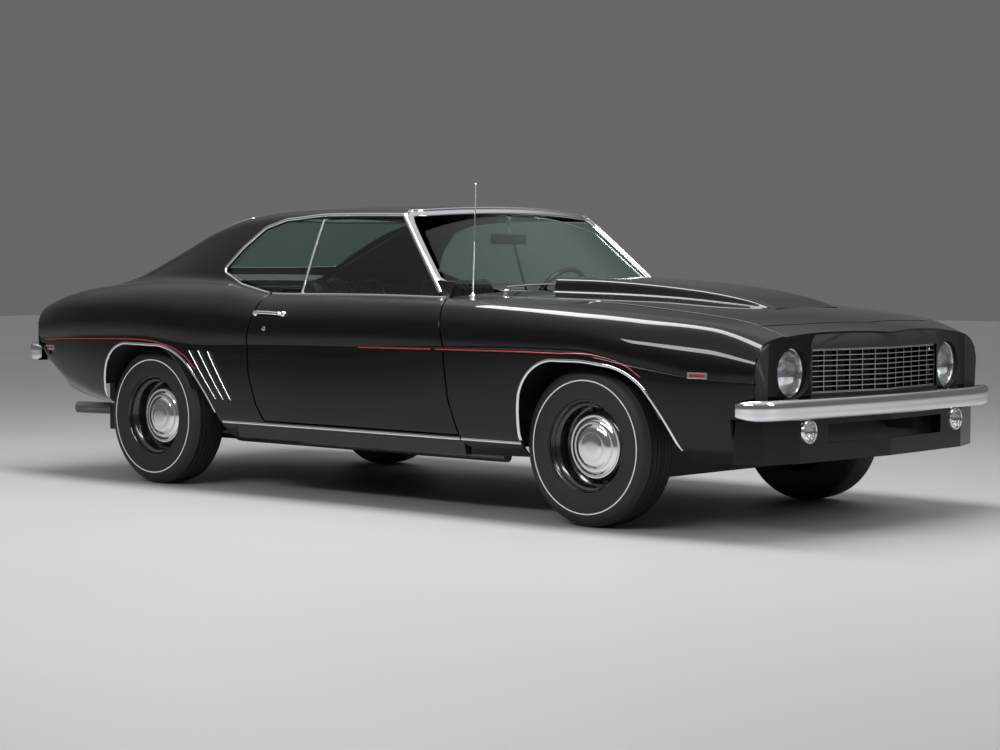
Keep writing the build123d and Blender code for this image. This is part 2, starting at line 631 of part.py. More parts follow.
def lamp(y, z, front, radius, lens, depth, dome):
    """A round lamp facing +X: a bright ring to `radius` about a lens domed by `dome`."""
    axis = Axis((front, y, z), (1, 0, 0))
    top = dome - 8
    with BuildPart() as unit:
        with BuildSketch(Plane(origin=(front, y, z), x_dir=(1, 0, 0), z_dir=(0, -1, 0))):
            with BuildLine():
                Polyline((top, DOME_FLAT), (top, 0), (-depth, 0), (-depth, radius * 0.7), (-depth / 2, radius * 0.7),
                         (-depth / 2, radius), (-3, radius), (0, radius - 3), (0, lens + 2), (-8, lens))
                ThreePointArc((-8, lens), (top - dome_drop(lens, dome, lens / 2), lens / 2), (top, DOME_FLAT))
            make_face()
        revolve(axis=axis)
    return unit.part


with BuildPart() as headlamps:
    add(lamp(HEADLAMP_Y, HEADLAMP_Z, HEADLAMP_X, HEADLAMP_HOLE - SEAT_GAP, 88, 66, 16))
    mirror(about=Plane.XZ)
write(headlamps, "headlamps")

with BuildPart() as parking_lamps:
    add(lamp(PARKING_Y, PARKING_Z, 2297, PARKING_RADIUS, 40, 70, 14))
    mirror(about=Plane.XZ)
write(parking_lamps, "parking_lamps")

TAIL_LAMP = dict(x0=-2304, y=560, z=680, wide=88, tall=80, pitch=96, count=3)
with BuildPart() as tail_lamps:
    with BuildSketch(across(TAIL_LAMP["x0"])):
        with Locations((TAIL_LAMP["y"], TAIL_LAMP["z"])):
            with GridLocations(TAIL_LAMP["pitch"], 1, TAIL_LAMP["count"], 1):
                Rectangle(TAIL_LAMP["wide"], TAIL_LAMP["tall"])
    extrude(amount=TAIL_FACE_X - SEAT_GAP - TAIL_LAMP["x0"])
    mirror(about=Plane.XZ)
write(tail_lamps, "tail_lamps")

with BuildPart() as side_markers:
    add([block(1946, 2034, 820, 885, 632, 656), block(-2182, -2090, 800, 890, 632, 656)])
    add(outer, mode=Mode.SUBTRACT)
    mirror(about=Plane.XZ)
write(side_markers, "side_markers")

# ---------------------------------------------------------------- bumpers and valance
BUMPER_BEVEL = 12
BUMPER_ROUND = 20
FRONT_BUMPER = [(2165, -884), (2262, -862), (2312, -780), (2330, -640), (2362, 0), (2330, 640), (2312, 780),
                (2262, 862), (2165, 884)]
with BuildPart() as front_bumper:
    add(bumper_blade(FRONT_BUMPER, 34, BUMPER_LOW_Z, BUMPER_HIGH_Z))
    for side in (410, -410):
        add(block(2060 + SEAT_GAP, 2312, side - 20, side + 20, 492, 536))
write(front_bumper, "front_bumper")

REAR_BUMPER = [(-2190, -898), (-2300, -880), (-2345, -800), (-2362, -600), (-2362, 600), (-2345, 800),
               (-2300, 880), (-2190, 898)]
with BuildPart() as rear_bumper:
    add(bumper_blade(REAR_BUMPER, 30, REAR_BUMPER_LOW_Z, REAR_BUMPER_HIGH_Z))
    add([body_form.part, mirrored(body_form.part)], mode=Mode.SUBTRACT)
    for side in (400, -400):
        add(block(-2345, TAIL_FACE_X - SEAT_GAP, side - 20, side + 20, 600, 640))
write(rear_bumper, "rear_bumper")

VALANCE_SHEET = 12
VALANCE_END_X = FENDER_TOE_X + VALANCE_SHEET + SEAT_GAP
VALANCE = [(VALANCE_END_X, -812), (2230, -775), (2285, -600), (2320, 0), (2285, 600), (2230, 775),
           (VALANCE_END_X, 812)]
with BuildPart() as front_valance:
    with BuildSketch(Plane.XY.offset(300)):
        with BuildLine():
            Polyline(*VALANCE, *[(x - VALANCE_SHEET, y) for x, y in reversed(VALANCE)], close=True)
        make_face()
    extrude(amount=BUMPER_LOW_Z - 2 - 300)
    for side in (PARKING_Y, -PARKING_Y):
        add(bar((2170, side, PARKING_Z), (2370, side, PARKING_Z), PARKING_RADIUS + SEAT_GAP), mode=Mode.SUBTRACT)
    add(block(2200, 2400, -420, 420, 372, 448), mode=Mode.SUBTRACT)
write(front_valance, "front_valance")

# ---------------------------------------------------------------- floor and front frame
WHEELHOUSE = TYRE_RADIUS + 42
TUNNEL_INNER = (TUNNEL_HALF - FLOOR_SHEET, TUNNEL_TOP_Z - FLOOR_SHEET)
with BuildPart() as wheelhouse:
    add(arched_sheet(REAR_AXLE_X, FLOOR_HALF_REAR, 1000, WHEELHOUSE, 8))
    add(inner_clear, mode=Mode.INTERSECT)
    add(block(-1850, -500, 500, FAR_SIDE, TRUNK_FLOOR_Z + 6, FAR_HIGH), mode=Mode.INTERSECT)

with BuildPart() as floor_pan:
    add([block(-960, FIREWALL_X, 0, POST_OUTER_Y, FLOOR_Z, FLOOR_Z + FLOOR_SHEET),
         block(BULKHEAD_X, -960, 0, FLOOR_HALF_REAR, FLOOR_Z, FLOOR_Z + FLOOR_SHEET),
         block(BULKHEAD_X, FIREWALL_X, 0, TUNNEL_HALF, FLOOR_Z, TUNNEL_TOP_Z),
         block(-2270, BULKHEAD_X, 0, FLOOR_HALF_REAR + 6, TRUNK_FLOOR_Z, TRUNK_FLOOR_Z + FLOOR_SHEET),
         block(BULKHEAD_X, BULKHEAD_X + FLOOR_SHEET, 0, FLOOR_HALF_REAR, FLOOR_Z, TRUNK_FLOOR_Z + FLOOR_SHEET),
         wheelhouse.part])
    add(block(-1200, 700, -1, TUNNEL_INNER[0], 200, TUNNEL_INNER[1]), mode=Mode.SUBTRACT)
    mirror(about=Plane.XZ)
write(floor_pan, "floor_pan")

RAIL = (360, 430, 385, 470)
INNER_HOUSE = TYRE_RADIUS + 90
LOWER_ARM_Z = 184
UPPER_ARM_Z = 460
KNUCKLE_LOW_Z = 200
SUPPORT_X = 2040
with BuildPart() as inner_fender:
    add(arched_sheet(FRONT_AXLE_X, 424, 950, INNER_HOUSE, 8))
    add(inner_clear, mode=Mode.INTERSECT)
    add(block(900, 1900, 400, FAR_SIDE, 464, FAR_HIGH), mode=Mode.INTERSECT)


def control_arm(reach, low, high):
    """A wishbone from the frame rail to the kingpin."""
    inboard, x = RAIL[1] - 10, FRONT_AXLE_X
    return plan_prism([(x - 77, inboard), (x + 73, inboard), (x + 28, KINGPIN_Y), (x, KINGPIN_Y + reach),
                       (x - 28, KINGPIN_Y)], low, high)


with BuildPart() as front_subframe:
    add([block(FIREWALL_X + FRAME_SHEET, 2200, *RAIL), inner_fender.part,
         control_arm(28, LOWER_ARM_Z, KNUCKLE_LOW_Z - SEAT_GAP),
         control_arm(24, UPPER_ARM_Z + SEAT_GAP, UPPER_ARM_Z + 14),
         block(1330, 1400, 150, 230, RAIL[2], 400 - SEAT_GAP),
         block(1310, 1490, 0, RAIL[1], LOWER_ARM_Z, RAIL[2] + 1),
         block(SUPPORT_X, SUPPORT_X + 20, 0, 580, UPPER_ARM_Z, 800)])
    mirror(about=Plane.XZ)
write(front_subframe, "front_subframe")

# ---------------------------------------------------------------- engine, driveline, tank and exhaust
GEARBOX_HALF = 110
with BuildPart() as engine:
    add([block(760, 1420, -240, 240, 400, 850), block(100, 900, -GEARBOX_HALF, GEARBOX_HALF, 290, 401)])
write(engine, "engine")

with BuildPart() as radiator:
    add(block(SUPPORT_X - 50, SUPPORT_X - SEAT_GAP, -330, 330, 400, 840))
write(radiator, "radiator")

AXLE_TUBE = 40
AXLE_END = 34
BANJO_HALF = 130
DIFFERENTIAL = 140
BRAKE_DRUM = 120
DRUM_INNER_Y = 640
HUB_Y = WHEEL_Y + HUB_FACE - SEAT_GAP
DRUM_OUTER_Y = WHEEL_Y + HUB_FACE - RUNNING_GAP
with BuildPart() as rear_axle:
    with BuildSketch(Plane(origin=(REAR_AXLE_X, 0, TYRE_RADIUS), x_dir=(1, 0, 0), z_dir=(0, 0, 1))):
        with BuildLine():
            ThreePointArc((AXLE_TUBE, -BANJO_HALF), (DIFFERENTIAL, 0), (AXLE_TUBE, BANJO_HALF))
            Polyline((AXLE_TUBE, BANJO_HALF), (AXLE_TUBE, DRUM_INNER_Y), (BRAKE_DRUM, DRUM_INNER_Y),
                     (BRAKE_DRUM, DRUM_OUTER_Y), (AXLE_END, DRUM_OUTER_Y), (AXLE_END, HUB_Y), (0, HUB_Y),
                     (0, -HUB_Y), (AXLE_END, -HUB_Y), (AXLE_END, -DRUM_OUTER_Y), (BRAKE_DRUM, -DRUM_OUTER_Y),
                     (BRAKE_DRUM, -DRUM_INNER_Y), (AXLE_TUBE, -DRUM_INNER_Y), (AXLE_TUBE, -BANJO_HALF))
        make_face()
    revolve(axis=Axis((REAR_AXLE_X, 0, TYRE_RADIUS), (0, 1, 0)))
    for lane in ((SPRING_Y - 30, SPRING_Y + 30), (-SPRING_Y - 30, 30 - SPRING_Y)):
        add([block(REAR_AXLE_X - 660, REAR_AXLE_X + 700, *lane, 220, 256),
             block(REAR_AXLE_X + 660, REAR_AXLE_X + 700, *lane, 220, FLOOR_Z - SEAT_GAP),
             block(REAR_AXLE_X - 680, REAR_AXLE_X - 640, *lane, 220, TRUNK_FLOOR_Z - SEAT_GAP),
             block(REAR_AXLE_X - 60, REAR_AXLE_X + 60, *lane, 256, TYRE_RADIUS)])
write(rear_axle, "rear_axle")

with BuildPart() as driveshaft:
    add(bar((REAR_AXLE_X + DIFFERENTIAL, 0, 340), (100 - SEAT_GAP, 0, 340), 38))
write(driveshaft, "driveshaft")

with BuildPart() as fuel_tank:
    add(block(-2240, -1760, -380, 380, 290, TRUNK_FLOOR_Z - SEAT_GAP))
write(fuel_tank, "fuel_tank")

PIPE_ROUTE = [(620, PIPE_Y, 222), (-1195, PIPE_Y, 222), (-1280, PIPE_Y, 430), (-1440, PIPE_Y, 430),
              (-1530, PIPE_Y, 335)]
with BuildPart() as exhaust:
    add(pipe(PIPE_ROUTE, 26, 80))
    add([block(-1990, -1500, PIPE_Y - 55, PIPE_Y + 55, 290, 380),
         bar((-1960, PIPE_Y, 318), (-2322, 550, 318), 30),
         block(-1900, -1880, PIPE_Y - 10, PIPE_Y + 10, 380, TRUNK_FLOOR_Z - SEAT_GAP),
         block(290, 310, PIPE_Y - 10, PIPE_Y + 10, 222, FLOOR_Z - SEAT_GAP)])
    mirror(about=Plane.XZ)
write(exhaust, "exhaust")

# ---------------------------------------------------------------- cabin
DASH_HALF = POST_INNER_Y - SEAT_GAP
DASH_PROFILE = [(FIREWALL_X - SEAT_GAP, 640), (FIREWALL_X - SEAT_GAP, 905), (600, 915), (470, 902), (425, 868),
                (432, 800), (470, 700), (560, 640)]
COLUMN_SLOPE = Vector(-268, 0, 108).normalized()
column_end = Vector(*STEER_HUB) - COLUMN_SLOPE * 20.3
column_start = Vector(*STEER_HUB) - COLUMN_SLOPE * 310
with BuildPart() as dashboard:
    add(side_prism(DASH_PROFILE, DASH_HALF, -DASH_HALF))
    add(bar(tuple(column_start), tuple(column_end), 24))
write(dashboard, "dashboard")

RIM_THICKNESS = 13
with BuildPart() as steering_wheel:
    with BuildSketch(Plane(origin=STEER_HUB, x_dir=(0, 1, 0), z_dir=Vector(0, 1, 0).cross(COLUMN_SLOPE))):
        with Locations((STEER_RIM, 0)):
            RegularPolygon(RIM_THICKNESS, 6)
    revolve(axis=Axis(STEER_HUB, COLUMN_SLOPE))
    add(bar(tuple(Vector(*STEER_HUB) - COLUMN_SLOPE * 20), tuple(Vector(*STEER_HUB) + COLUMN_SLOPE * 20), 45))
    with Locations(Plane(origin=STEER_HUB, x_dir=(0, 1, 0), z_dir=COLUMN_SLOPE)):
        with PolarLocations(0, 3, start_angle=90):
            Box(STEER_RIM - 6, 26, 10, align=(Align.MIN, Align.CENTER, Align.CENTER))
write(steering_wheel, "steering_wheel")

# A bucket seat in side view: cushion, then a backrest that leans back.
SEAT_PROFILE = [(-330, 315), (160, 330), (214, 395), (205, 462), (150, 482), (-185, 452), (-262, 500), (-420, 985),
                (-470, 1030), (-540, 1015), (-548, 960), (-405, 420)]
SEAT_RUNNERS = (-260, 100)
with BuildPart() as front_seats:
    for side in (SEAT_Y, -SEAT_Y):
        add(side_prism(SEAT_PROFILE, side + SEAT_WIDTH / 2, side - SEAT_WIDTH / 2))
        add(block(*SEAT_RUNNERS, side - 190, side + 190, FLOOR_Z + FLOOR_SHEET + SEAT_GAP, 330))
write(front_seats, "front_seats")

REAR_SEAT_PROFILE = [(-1060, 274.3), (-640, 274.3), (-622, 420), (-660, 452), (-950, 432), (-1010, 470), (-1090, 830),
                     (-1152, 850), (-1152, 440), (-1060, 430)]
with BuildPart() as rear_seat:
    add(side_prism(REAR_SEAT_PROFILE, 560, -560))
    add(block(-1100, -600, -TUNNEL_HALF - 1, TUNNEL_HALF + 1, 200, TUNNEL_TOP_Z + 1), mode=Mode.SUBTRACT)
write(rear_seat, "rear_seat")

with BuildPart() as cabin_mirror:
    add([bar((225, 0, 1304.8), (215, 0, 1190), 8), block(205, 223, -125, 125, 1160, 1215)])
write(cabin_mirror, "cabin_mirror")

# ---------------------------------------------------------------- wipers, antenna and outside mirror
with BuildPart() as wipers:
    add([bar((690, 560, 944.6), (690, 560, 985), 9), bar((690, 560, 980), (708, 90, 984), 6)])
    mirror(about=Plane.XZ)
write(wipers, "wipers")

with BuildPart() as antenna:
    add([bar((700, -770, 933), (717, -770, 1421), 4), block(685, 715, -785, -755, 931.4, 945)])
write(antenna, "antenna")

with BuildPart() as door_mirror:
    add([block(430, 500, 870, 935, 985, 1075), block(440, 490, 830, 880, 860, 990)])
    add(body_form.part, mode=Mode.SUBTRACT)
write(door_mirror, "door_mirror")

# ---------------------------------------------------------------- tyres and wheels
# Half of the tyre's section, as radius and distance from its middle plane.
TYRE_SECTION = [(RIM_RADIUS, RIM_WIDTH / 2 + 5), (235, TYRE_WIDTH / 2), (278, TYRE_WIDTH / 2),
                (TYRE_RADIUS - 24, 91), (TYRE_RADIUS - 7, 70), (TYRE_RADIUS, TREAD_WIDTH / 2)]
# The wheel's section: centre disc, rim barrel, flange, dish and domed cap.
BARREL = RIM_RADIUS - SEAT_GAP
WHEEL_SECTION = [(0, HUB_FACE), (126, HUB_FACE), (164, -4), (BARREL - RIM_WALL, -4),
                 (BARREL - RIM_WALL, -RIM_WIDTH / 2), (BARREL, -RIM_WIDTH / 2), (BARREL, RIM_WIDTH / 2),
                 (BARREL - 8, RIM_WIDTH / 2), (BARREL - 14, 44), (BARREL - 22, 8), (160, 5),
                 (CAP_RADIUS + 4, HUB_FACE + 10), (CAP_RADIUS, HUB_FACE + 20)]
WHEELS = [("front_left", FRONT_AXLE_X, 1), ("front_right", FRONT_AXLE_X, -1),
          ("rear_left", REAR_AXLE_X, 1), ("rear_right", REAR_AXLE_X, -1)]
for name, axle_x, side in WHEELS:
    centre = (axle_x, side * WHEEL_Y, TYRE_RADIUS)
    section_plane = Plane(origin=centre, x_dir=(1, 0, 0), z_dir=(0, 0, side))
    spin = Axis(centre, (0, 1, 0))
    with BuildPart() as tyre:
        with BuildSketch(section_plane):
            with BuildLine():
                Polyline(*TYRE_SECTION, *[(r, -w) for r, w in reversed(TYRE_SECTION)], close=True)
            make_face()
        revolve(axis=spin)
    write(tyre, "tyre_" + name)
    with BuildPart() as wheel:
        with BuildSketch(section_plane):
            with BuildLine():
                Polyline(*WHEEL_SECTION)
                rim_edge, cap_top = WHEEL_SECTION[-1], (0, HUB_FACE + 20 + CAP_DOME)
                half_way = CAP_RADIUS / 2
                half_drop = dome_drop(CAP_RADIUS, CAP_DOME, half_way)
                ThreePointArc(rim_edge, (half_way, cap_top[1] - half_drop), (DOME_FLAT, cap_top[1]))
                Polyline((DOME_FLAT, cap_top[1]), cap_top, WHEEL_SECTION[0])
            make_face()
        revolve(axis=spin)
    write(wheel, "wheel_" + name)

# ---------------------------------------------------------------- steering knuckles
UPRIGHT = 26
for name, side in (("left", 1), ("right", -1)):
    with BuildPart() as knuckle:
        add(block(FRONT_AXLE_X - UPRIGHT, FRONT_AXLE_X + UPRIGHT, KINGPIN_Y - 20, KINGPIN_Y + 20, KNUCKLE_LOW_Z,
                  UPPER_ARM_Z))
        add(drum_y(FRONT_AXLE_X, KINGPIN_Y + 32, DRUM_OUTER_Y, TYRE_RADIUS, BRAKE_DRUM))
        add(drum_y(FRONT_AXLE_X, KINGPIN_Y - 22, HUB_Y, TYRE_RADIUS, 30))
    with BuildPart() as placed:
        add(knuckle.part if side > 0 else mirrored(knuckle.part))
    write(placed, "knuckle_" + name)
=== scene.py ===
import math

import bpy
import numpy as np
from mathutils import Matrix, Vector
from mathutils.geometry import delaunay_2d_cdt


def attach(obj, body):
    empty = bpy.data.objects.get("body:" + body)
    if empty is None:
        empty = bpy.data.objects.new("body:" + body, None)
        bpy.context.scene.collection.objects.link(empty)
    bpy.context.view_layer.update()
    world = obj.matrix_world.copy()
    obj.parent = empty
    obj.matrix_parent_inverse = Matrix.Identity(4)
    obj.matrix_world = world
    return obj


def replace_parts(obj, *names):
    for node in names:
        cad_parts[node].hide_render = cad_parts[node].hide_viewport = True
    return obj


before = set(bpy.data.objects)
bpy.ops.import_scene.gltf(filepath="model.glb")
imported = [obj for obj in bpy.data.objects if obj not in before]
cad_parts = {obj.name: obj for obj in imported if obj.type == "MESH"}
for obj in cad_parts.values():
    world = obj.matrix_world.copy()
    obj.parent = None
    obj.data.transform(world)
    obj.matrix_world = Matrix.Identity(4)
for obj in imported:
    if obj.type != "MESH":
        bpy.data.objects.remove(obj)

scene = bpy.context.scene
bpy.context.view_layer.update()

# ================================================================== body paint
# The body is pressed sheet steel, sprayed gloss black and clear-coated.
# Every painted panel wears this finish, with a faint orange peel in the clear coat.


class Socket:
    """A shader socket whose + - * > and < operators add Math nodes."""

    def __init__(self, tree, value):
        self.tree = tree
        self.value = value

    def _maths(self, operation, first, second):
        node = self.tree.nodes.new("ShaderNodeMath")
        node.operation = operation
        for place, item in enumerate((first, second)):
            item = item.value if isinstance(item, Socket) else item
            if isinstance(item, bpy.types.NodeSocket):
                self.tree.links.new(item, node.inputs[place])
            else:
                node.inputs[place].default_value = item
        return Socket(self.tree, node.outputs[0])

    def __add__(self, other):
        return self._maths("ADD", self, other)

    def __radd__(self, other):
        return self._maths("ADD", other, self)

    def __sub__(self, other):
        return self._maths("SUBTRACT", self, other)

    def __rsub__(self, other):
        return self._maths("SUBTRACT", other, self)

    def __mul__(self, other):
        return self._maths("MULTIPLY", self, other)

    def __rmul__(self, other):
        return self._maths("MULTIPLY", other, self)

    def __gt__(self, other):
        return self._maths("GREATER_THAN", self, other)

    def __lt__(self, other):
        return self._maths("LESS_THAN", self, other)


class Finish:
    """One material, with its shader nodes added by name."""

    def __init__(self, name, base, rough, metal=0.0, coat=0.0, **more):
        self.material = bpy.data.materials.new(name)
        self.material.use_nodes = True
        self.tree = self.material.node_tree
        self.shader = self.tree.nodes["Principled BSDF"]
        self.shader.inputs["Base Color"].default_value = (*base, 1)
        self.shader.inputs["Roughness"].default_value = rough
        self.shader.inputs["Metallic"].default_value = metal
        self.shader.inputs["Coat Weight"].default_value = coat
        for socket, value in more.items():
            self.shader.inputs[socket.replace("_", " ")].default_value = value
        coordinates = self.tree.nodes.new("ShaderNodeTexCoord")
        self.place = Socket(self.tree, coordinates.outputs["Object"])

    def node(self, kind, settings=None, output=0, **inputs):
        made = self.tree.nodes.new("ShaderNode" + kind)
        for name, value in (settings or {}).items():
            setattr(made, name, value)
        for name, value in inputs.items():
            socket = made.inputs[name.replace("_", " ")]
            value = value.value if isinstance(value, Socket) else value
            if isinstance(value, bpy.types.NodeSocket):
                self.tree.links.new(value, socket)
            else:
                socket.default_value = value
        return Socket(self.tree, made.outputs[output])

    def grain(self, scale, detail=2.0):
        return self.node("TexNoise", Vector=self.place, Scale=scale, Detail=detail)

    def bump(self, height, strength, distance):
        normal = self.node("Bump", Height=height, Strength=strength, Distance=distance)
        self.tree.links.new(normal.value, self.shader.inputs["Normal"])

    def vary(self, socket, mask, low, high):
        """Sends a value that runs from `low` to `high` over the mask to one socket."""
        mixed = mask * (high - low) + low
        self.tree.links.new(mixed.value, self.shader.inputs[socket])


def colour_mix(tree, factor, low, high):
    """A Mix node between two colours; its colour sockets are inputs 6 and 7 and output 2."""
    made = tree.nodes.new("ShaderNodeMix")
    made.data_type = "RGBA"
    tree.links.new(factor, made.inputs[0])
    made.inputs[6].default_value, made.inputs[7].default_value = (*low, 1), (*high, 1)
    return made.outputs[2]


def tint(finish, mask, low, high):
    colour = colour_mix(finish.tree, mask.value, low, high)
    finish.tree.links.new(colour, finish.shader.inputs["Base Color"])


def grained(name, base, rough, scale, low, high, **more):
    """A finish whose colour runs from `low` to `high` over a noise of that scale."""
    finish = Finish(name, base, rough, **more)
    tint(finish, finish.grain(scale), low, high)
    return finish


paint = grained("gloss_black_paint", (0.0025, 0.0025, 0.0028), 0.35, 3.0,
                (0.0020, 0.0020, 0.0022), (0.0030, 0.0030, 0.0033), coat=1.0,
                Coat_Roughness=0.02, Coat_IOR=1.37, Specular_IOR_Level=0.05)
paint.bump(paint.grain(260.0, 0.0), 0.04, 0.0006)
frame_paint = grained("underbody_black", (0.012, 0.012, 0.013), 0.5, 40.0,
                      (0.008, 0.008, 0.009), (0.02, 0.02, 0.021))
frame_paint.bump(frame_paint.grain(300.0), 0.15, 0.0008)

# ================================================================== body form
# The panels are pressed to one flowing shape: sill, bulged side, crease with a ledge over it,
# shoulder and a lightly crowned top. Cross-sections from tail to nose give it, in metres.
BODY_COLUMNS = ("x", "z_sill", "y_sill", "z_low", "y_low", "y_belly", "z_crease", "y_crease", "ledge",
                "y_shoulder", "y_peak", "z_peak", "z_centre")
BODY_STATIONS = (
    (-2.340, .600, .780, .640, .812, .822, .688, .826, .001, .815, .700, .842, .880),
    (-2.230, .560, .800, .600, .835, .848, .688, .852, .002, .842, .728, .885, .914),
    (-2.050, .440, .800, .500, .848, .876, .692, .886, .005, .878, .742, .928, .948),
    (-1.800, .385, .800, .430, .866, .904, .699, .918, .010, .905, .752, .962, .976),
    (-1.344, .330, .810, .370, .900, .932, .705, .940, .012, .920, .765, .990, .996),
    (-0.900, .262, .830, .330, .892, .918, .690, .922, .001, .908, .790, .984, .990),
    (-0.500, .262, .830, .330, .886, .906, .700, .908, .001, .895, .805, .936, .962),
    (0.000, .262, .830, .330, .884, .900, .706, .900, .001, .888, .812, .938, .962),
    (0.640, .262, .830, .330, .886, .906, .711, .912, .009, .890, .832, .927, .960),
    (1.100, .270, .830, .340, .896, .920, .714, .930, .014, .900, .836, .911, .953),
    (1.402, .285, .820, .350, .896, .924, .712, .936, .014, .905, .832, .897, .941),
    (1.700, .290, .800, .350, .872, .905, .668, .914, .006, .892, .820, .874, .918),
    (2.000, .292, .760, .350, .830, .862, .630, .872, .001, .852, .796, .842, .884),
    (2.230, .296, .700, .350, .770, .806, .620, .820, .001, .806, .742, .776, .836),
    (2.340, .300, .660, .350, .735, .770, .615, .786, .001, .776, .700, .730, .796),
)
STEP = 0.010
FOOT_ROWS, SIDE_ROWS, LEDGE_ROWS, SHOULDER_ROWS, CROWN_ROWS = 8, 36, 3, 30, 83
LOW_ROW = FOOT_ROWS
CREASE_ROW = LOW_ROW + SIDE_ROWS
LEDGE_ROW = CREASE_ROW + LEDGE_ROWS
PEAK_ROW = LEDGE_ROW + SHOULDER_ROWS
SHOULDER_SHARE = 0.62
ROW_SIZE = 0.0105


def flowing(table, xs):
    """Values between the table's rows, on curves that keep each hump and hollow where it is."""
    rows = np.array(table)
    at, values = rows[:, 0], rows[:, 1:]
    slope = np.diff(values, axis=0) / np.diff(at)[:, None]
    bend = np.zeros_like(values)
    same = slope[1:] * slope[:-1] > 0
    total = np.where(same, slope[1:] + slope[:-1], 1.0)
    bend[1:-1] = np.where(same, 2.0 * slope[1:] * slope[:-1] / total, 0.0)
    bend[0], bend[-1] = slope[0], slope[-1]
    place = np.clip(np.searchsorted(at, xs) - 1, 0, len(at) - 2)
    width = (at[place + 1] - at[place])[:, None]
    along = ((xs - at[place]) / width[:, 0])[:, None]
    low, high = values[place], values[place + 1]
    return ((2 * along ** 3 - 3 * along ** 2 + 1) * low
            + (along ** 3 - 2 * along ** 2 + along) * width * bend[place]
            + (3 * along ** 2 - 2 * along ** 3) * high
            + (along ** 3 - along ** 2) * width * bend[place + 1])


def arc(start, middle, end, count):
    """Points along the arc through three points, for arrays of sections at once."""
    a, b, c = start, middle, end
    d = 2 * (a[0] * (b[1] - c[1]) + b[0] * (c[1] - a[1]) + c[0] * (a[1] - b[1]))
    d = np.where(np.abs(d) < 1e-9, 1e-9, d)
    aa, bb, cc = a[0] ** 2 + a[1] ** 2, b[0] ** 2 + b[1] ** 2, c[0] ** 2 + c[1] ** 2
    ux = (aa * (b[1] - c[1]) + bb * (c[1] - a[1]) + cc * (a[1] - b[1])) / d
    uy = (aa * (c[0] - b[0]) + bb * (a[0] - c[0]) + cc * (b[0] - a[0])) / d
    radius = np.hypot(a[0] - ux, a[1] - uy)
    first = np.arctan2(a[1] - uy, a[0] - ux)
    last = np.arctan2(c[1] - uy, c[0] - ux)
    mid = np.arctan2(b[1] - uy, b[0] - ux)
    turn = np.mod(last - first, 2 * np.pi)
    turn = np.where(np.mod(mid - first, 2 * np.pi) > turn, turn - 2 * np.pi, turn)
    angle = first[:, None] + turn[:, None] * np.linspace(0, 1, count)[None, :]
    return ux[:, None] + radius[:, None] * np.cos(angle), uy[:, None] + radius[:, None] * np.sin(angle)


class Skin:
    """A smooth surface on a grid of sections (places x) and rows up and over each section."""

    def __init__(self, xs, y, z, settle, rounds):
        for _ in range(rounds):
            for layer in (y, z):
                pull = (layer[:, :-2] + layer[:, 2:]) / 2 - layer[:, 1:-1]
                layer[:, 1:-1] += settle[None, 1:-1] * pull
        self.xs, self.y, self.z = xs, y, z
        grid = np.stack([np.repeat(xs[:, None], y.shape[1], 1), y, z], axis=2)
        along, over = np.gradient(grid, axis=0), np.gradient(grid, axis=1)
        normal = np.cross(over, along)
        self.grid = grid
        normal[:, -1, 1] = 0.0
        self.normal = normal / np.linalg.norm(normal, axis=2, keepdims=True)
        self.rows = y.shape[1]

    def _section(self, x):
        return np.clip((x - self.xs[0]) / (self.xs[1] - self.xs[0]), 0, len(self.xs) - 1.001)

    def _column(self, layer, x):
        """The values of one section at x."""
        i = float(self._section(x))
        s = i - int(i)
        return layer[int(i)] * (1 - s) + layer[int(i) + 1] * s

    def _read(self, field, x, row):
        i, j = self._section(x), np.clip(row, 0, self.rows - 1.001)
        a, b = i.astype(int), j.astype(int)
        s, t = (i - a)[:, None], (j - b)[:, None]
        return ((field[a, b] * (1 - s) + field[a + 1, b] * s) * (1 - t)
                + (field[a, b + 1] * (1 - s) + field[a + 1, b + 1] * s) * t)

    def at(self, x, row):
        """Places on the surface, and the normals there."""
        x, row = np.atleast_1d(np.asarray(x, float)), np.atleast_1d(np.asarray(row, float))
        past_middle = row > self.rows - 1
        row = np.where(past_middle, 2 * (self.rows - 1) - row, row)
        place, normal = self._read(self.grid, x, row), self._read(self.normal, x, row)
        place[:, 1] *= np.where(past_middle, -1, 1)
        normal[:, 1] *= np.where(past_middle, -1, 1)
        normal /= np.linalg.norm(normal, axis=1, keepdims=True)
        return place, normal

    def row_at_height(self, x, z):
        """The row where the side of the section at x reaches height z."""
        column = self._column(self.z, x)
        last = int(np.argmax(column))
        return float(np.interp(z, np.maximum.accumulate(column[:last + 1]), np.arange(last + 1)))

    def row_at_width(self, x, y):
        """The row where the top of the section at x reaches half-width y."""
        column = self._column(self.y, x)
        start = int(np.argmax(column))
        return float(np.interp(-y, np.maximum.accumulate(-column[start:]), np.arange(start, self.rows)))


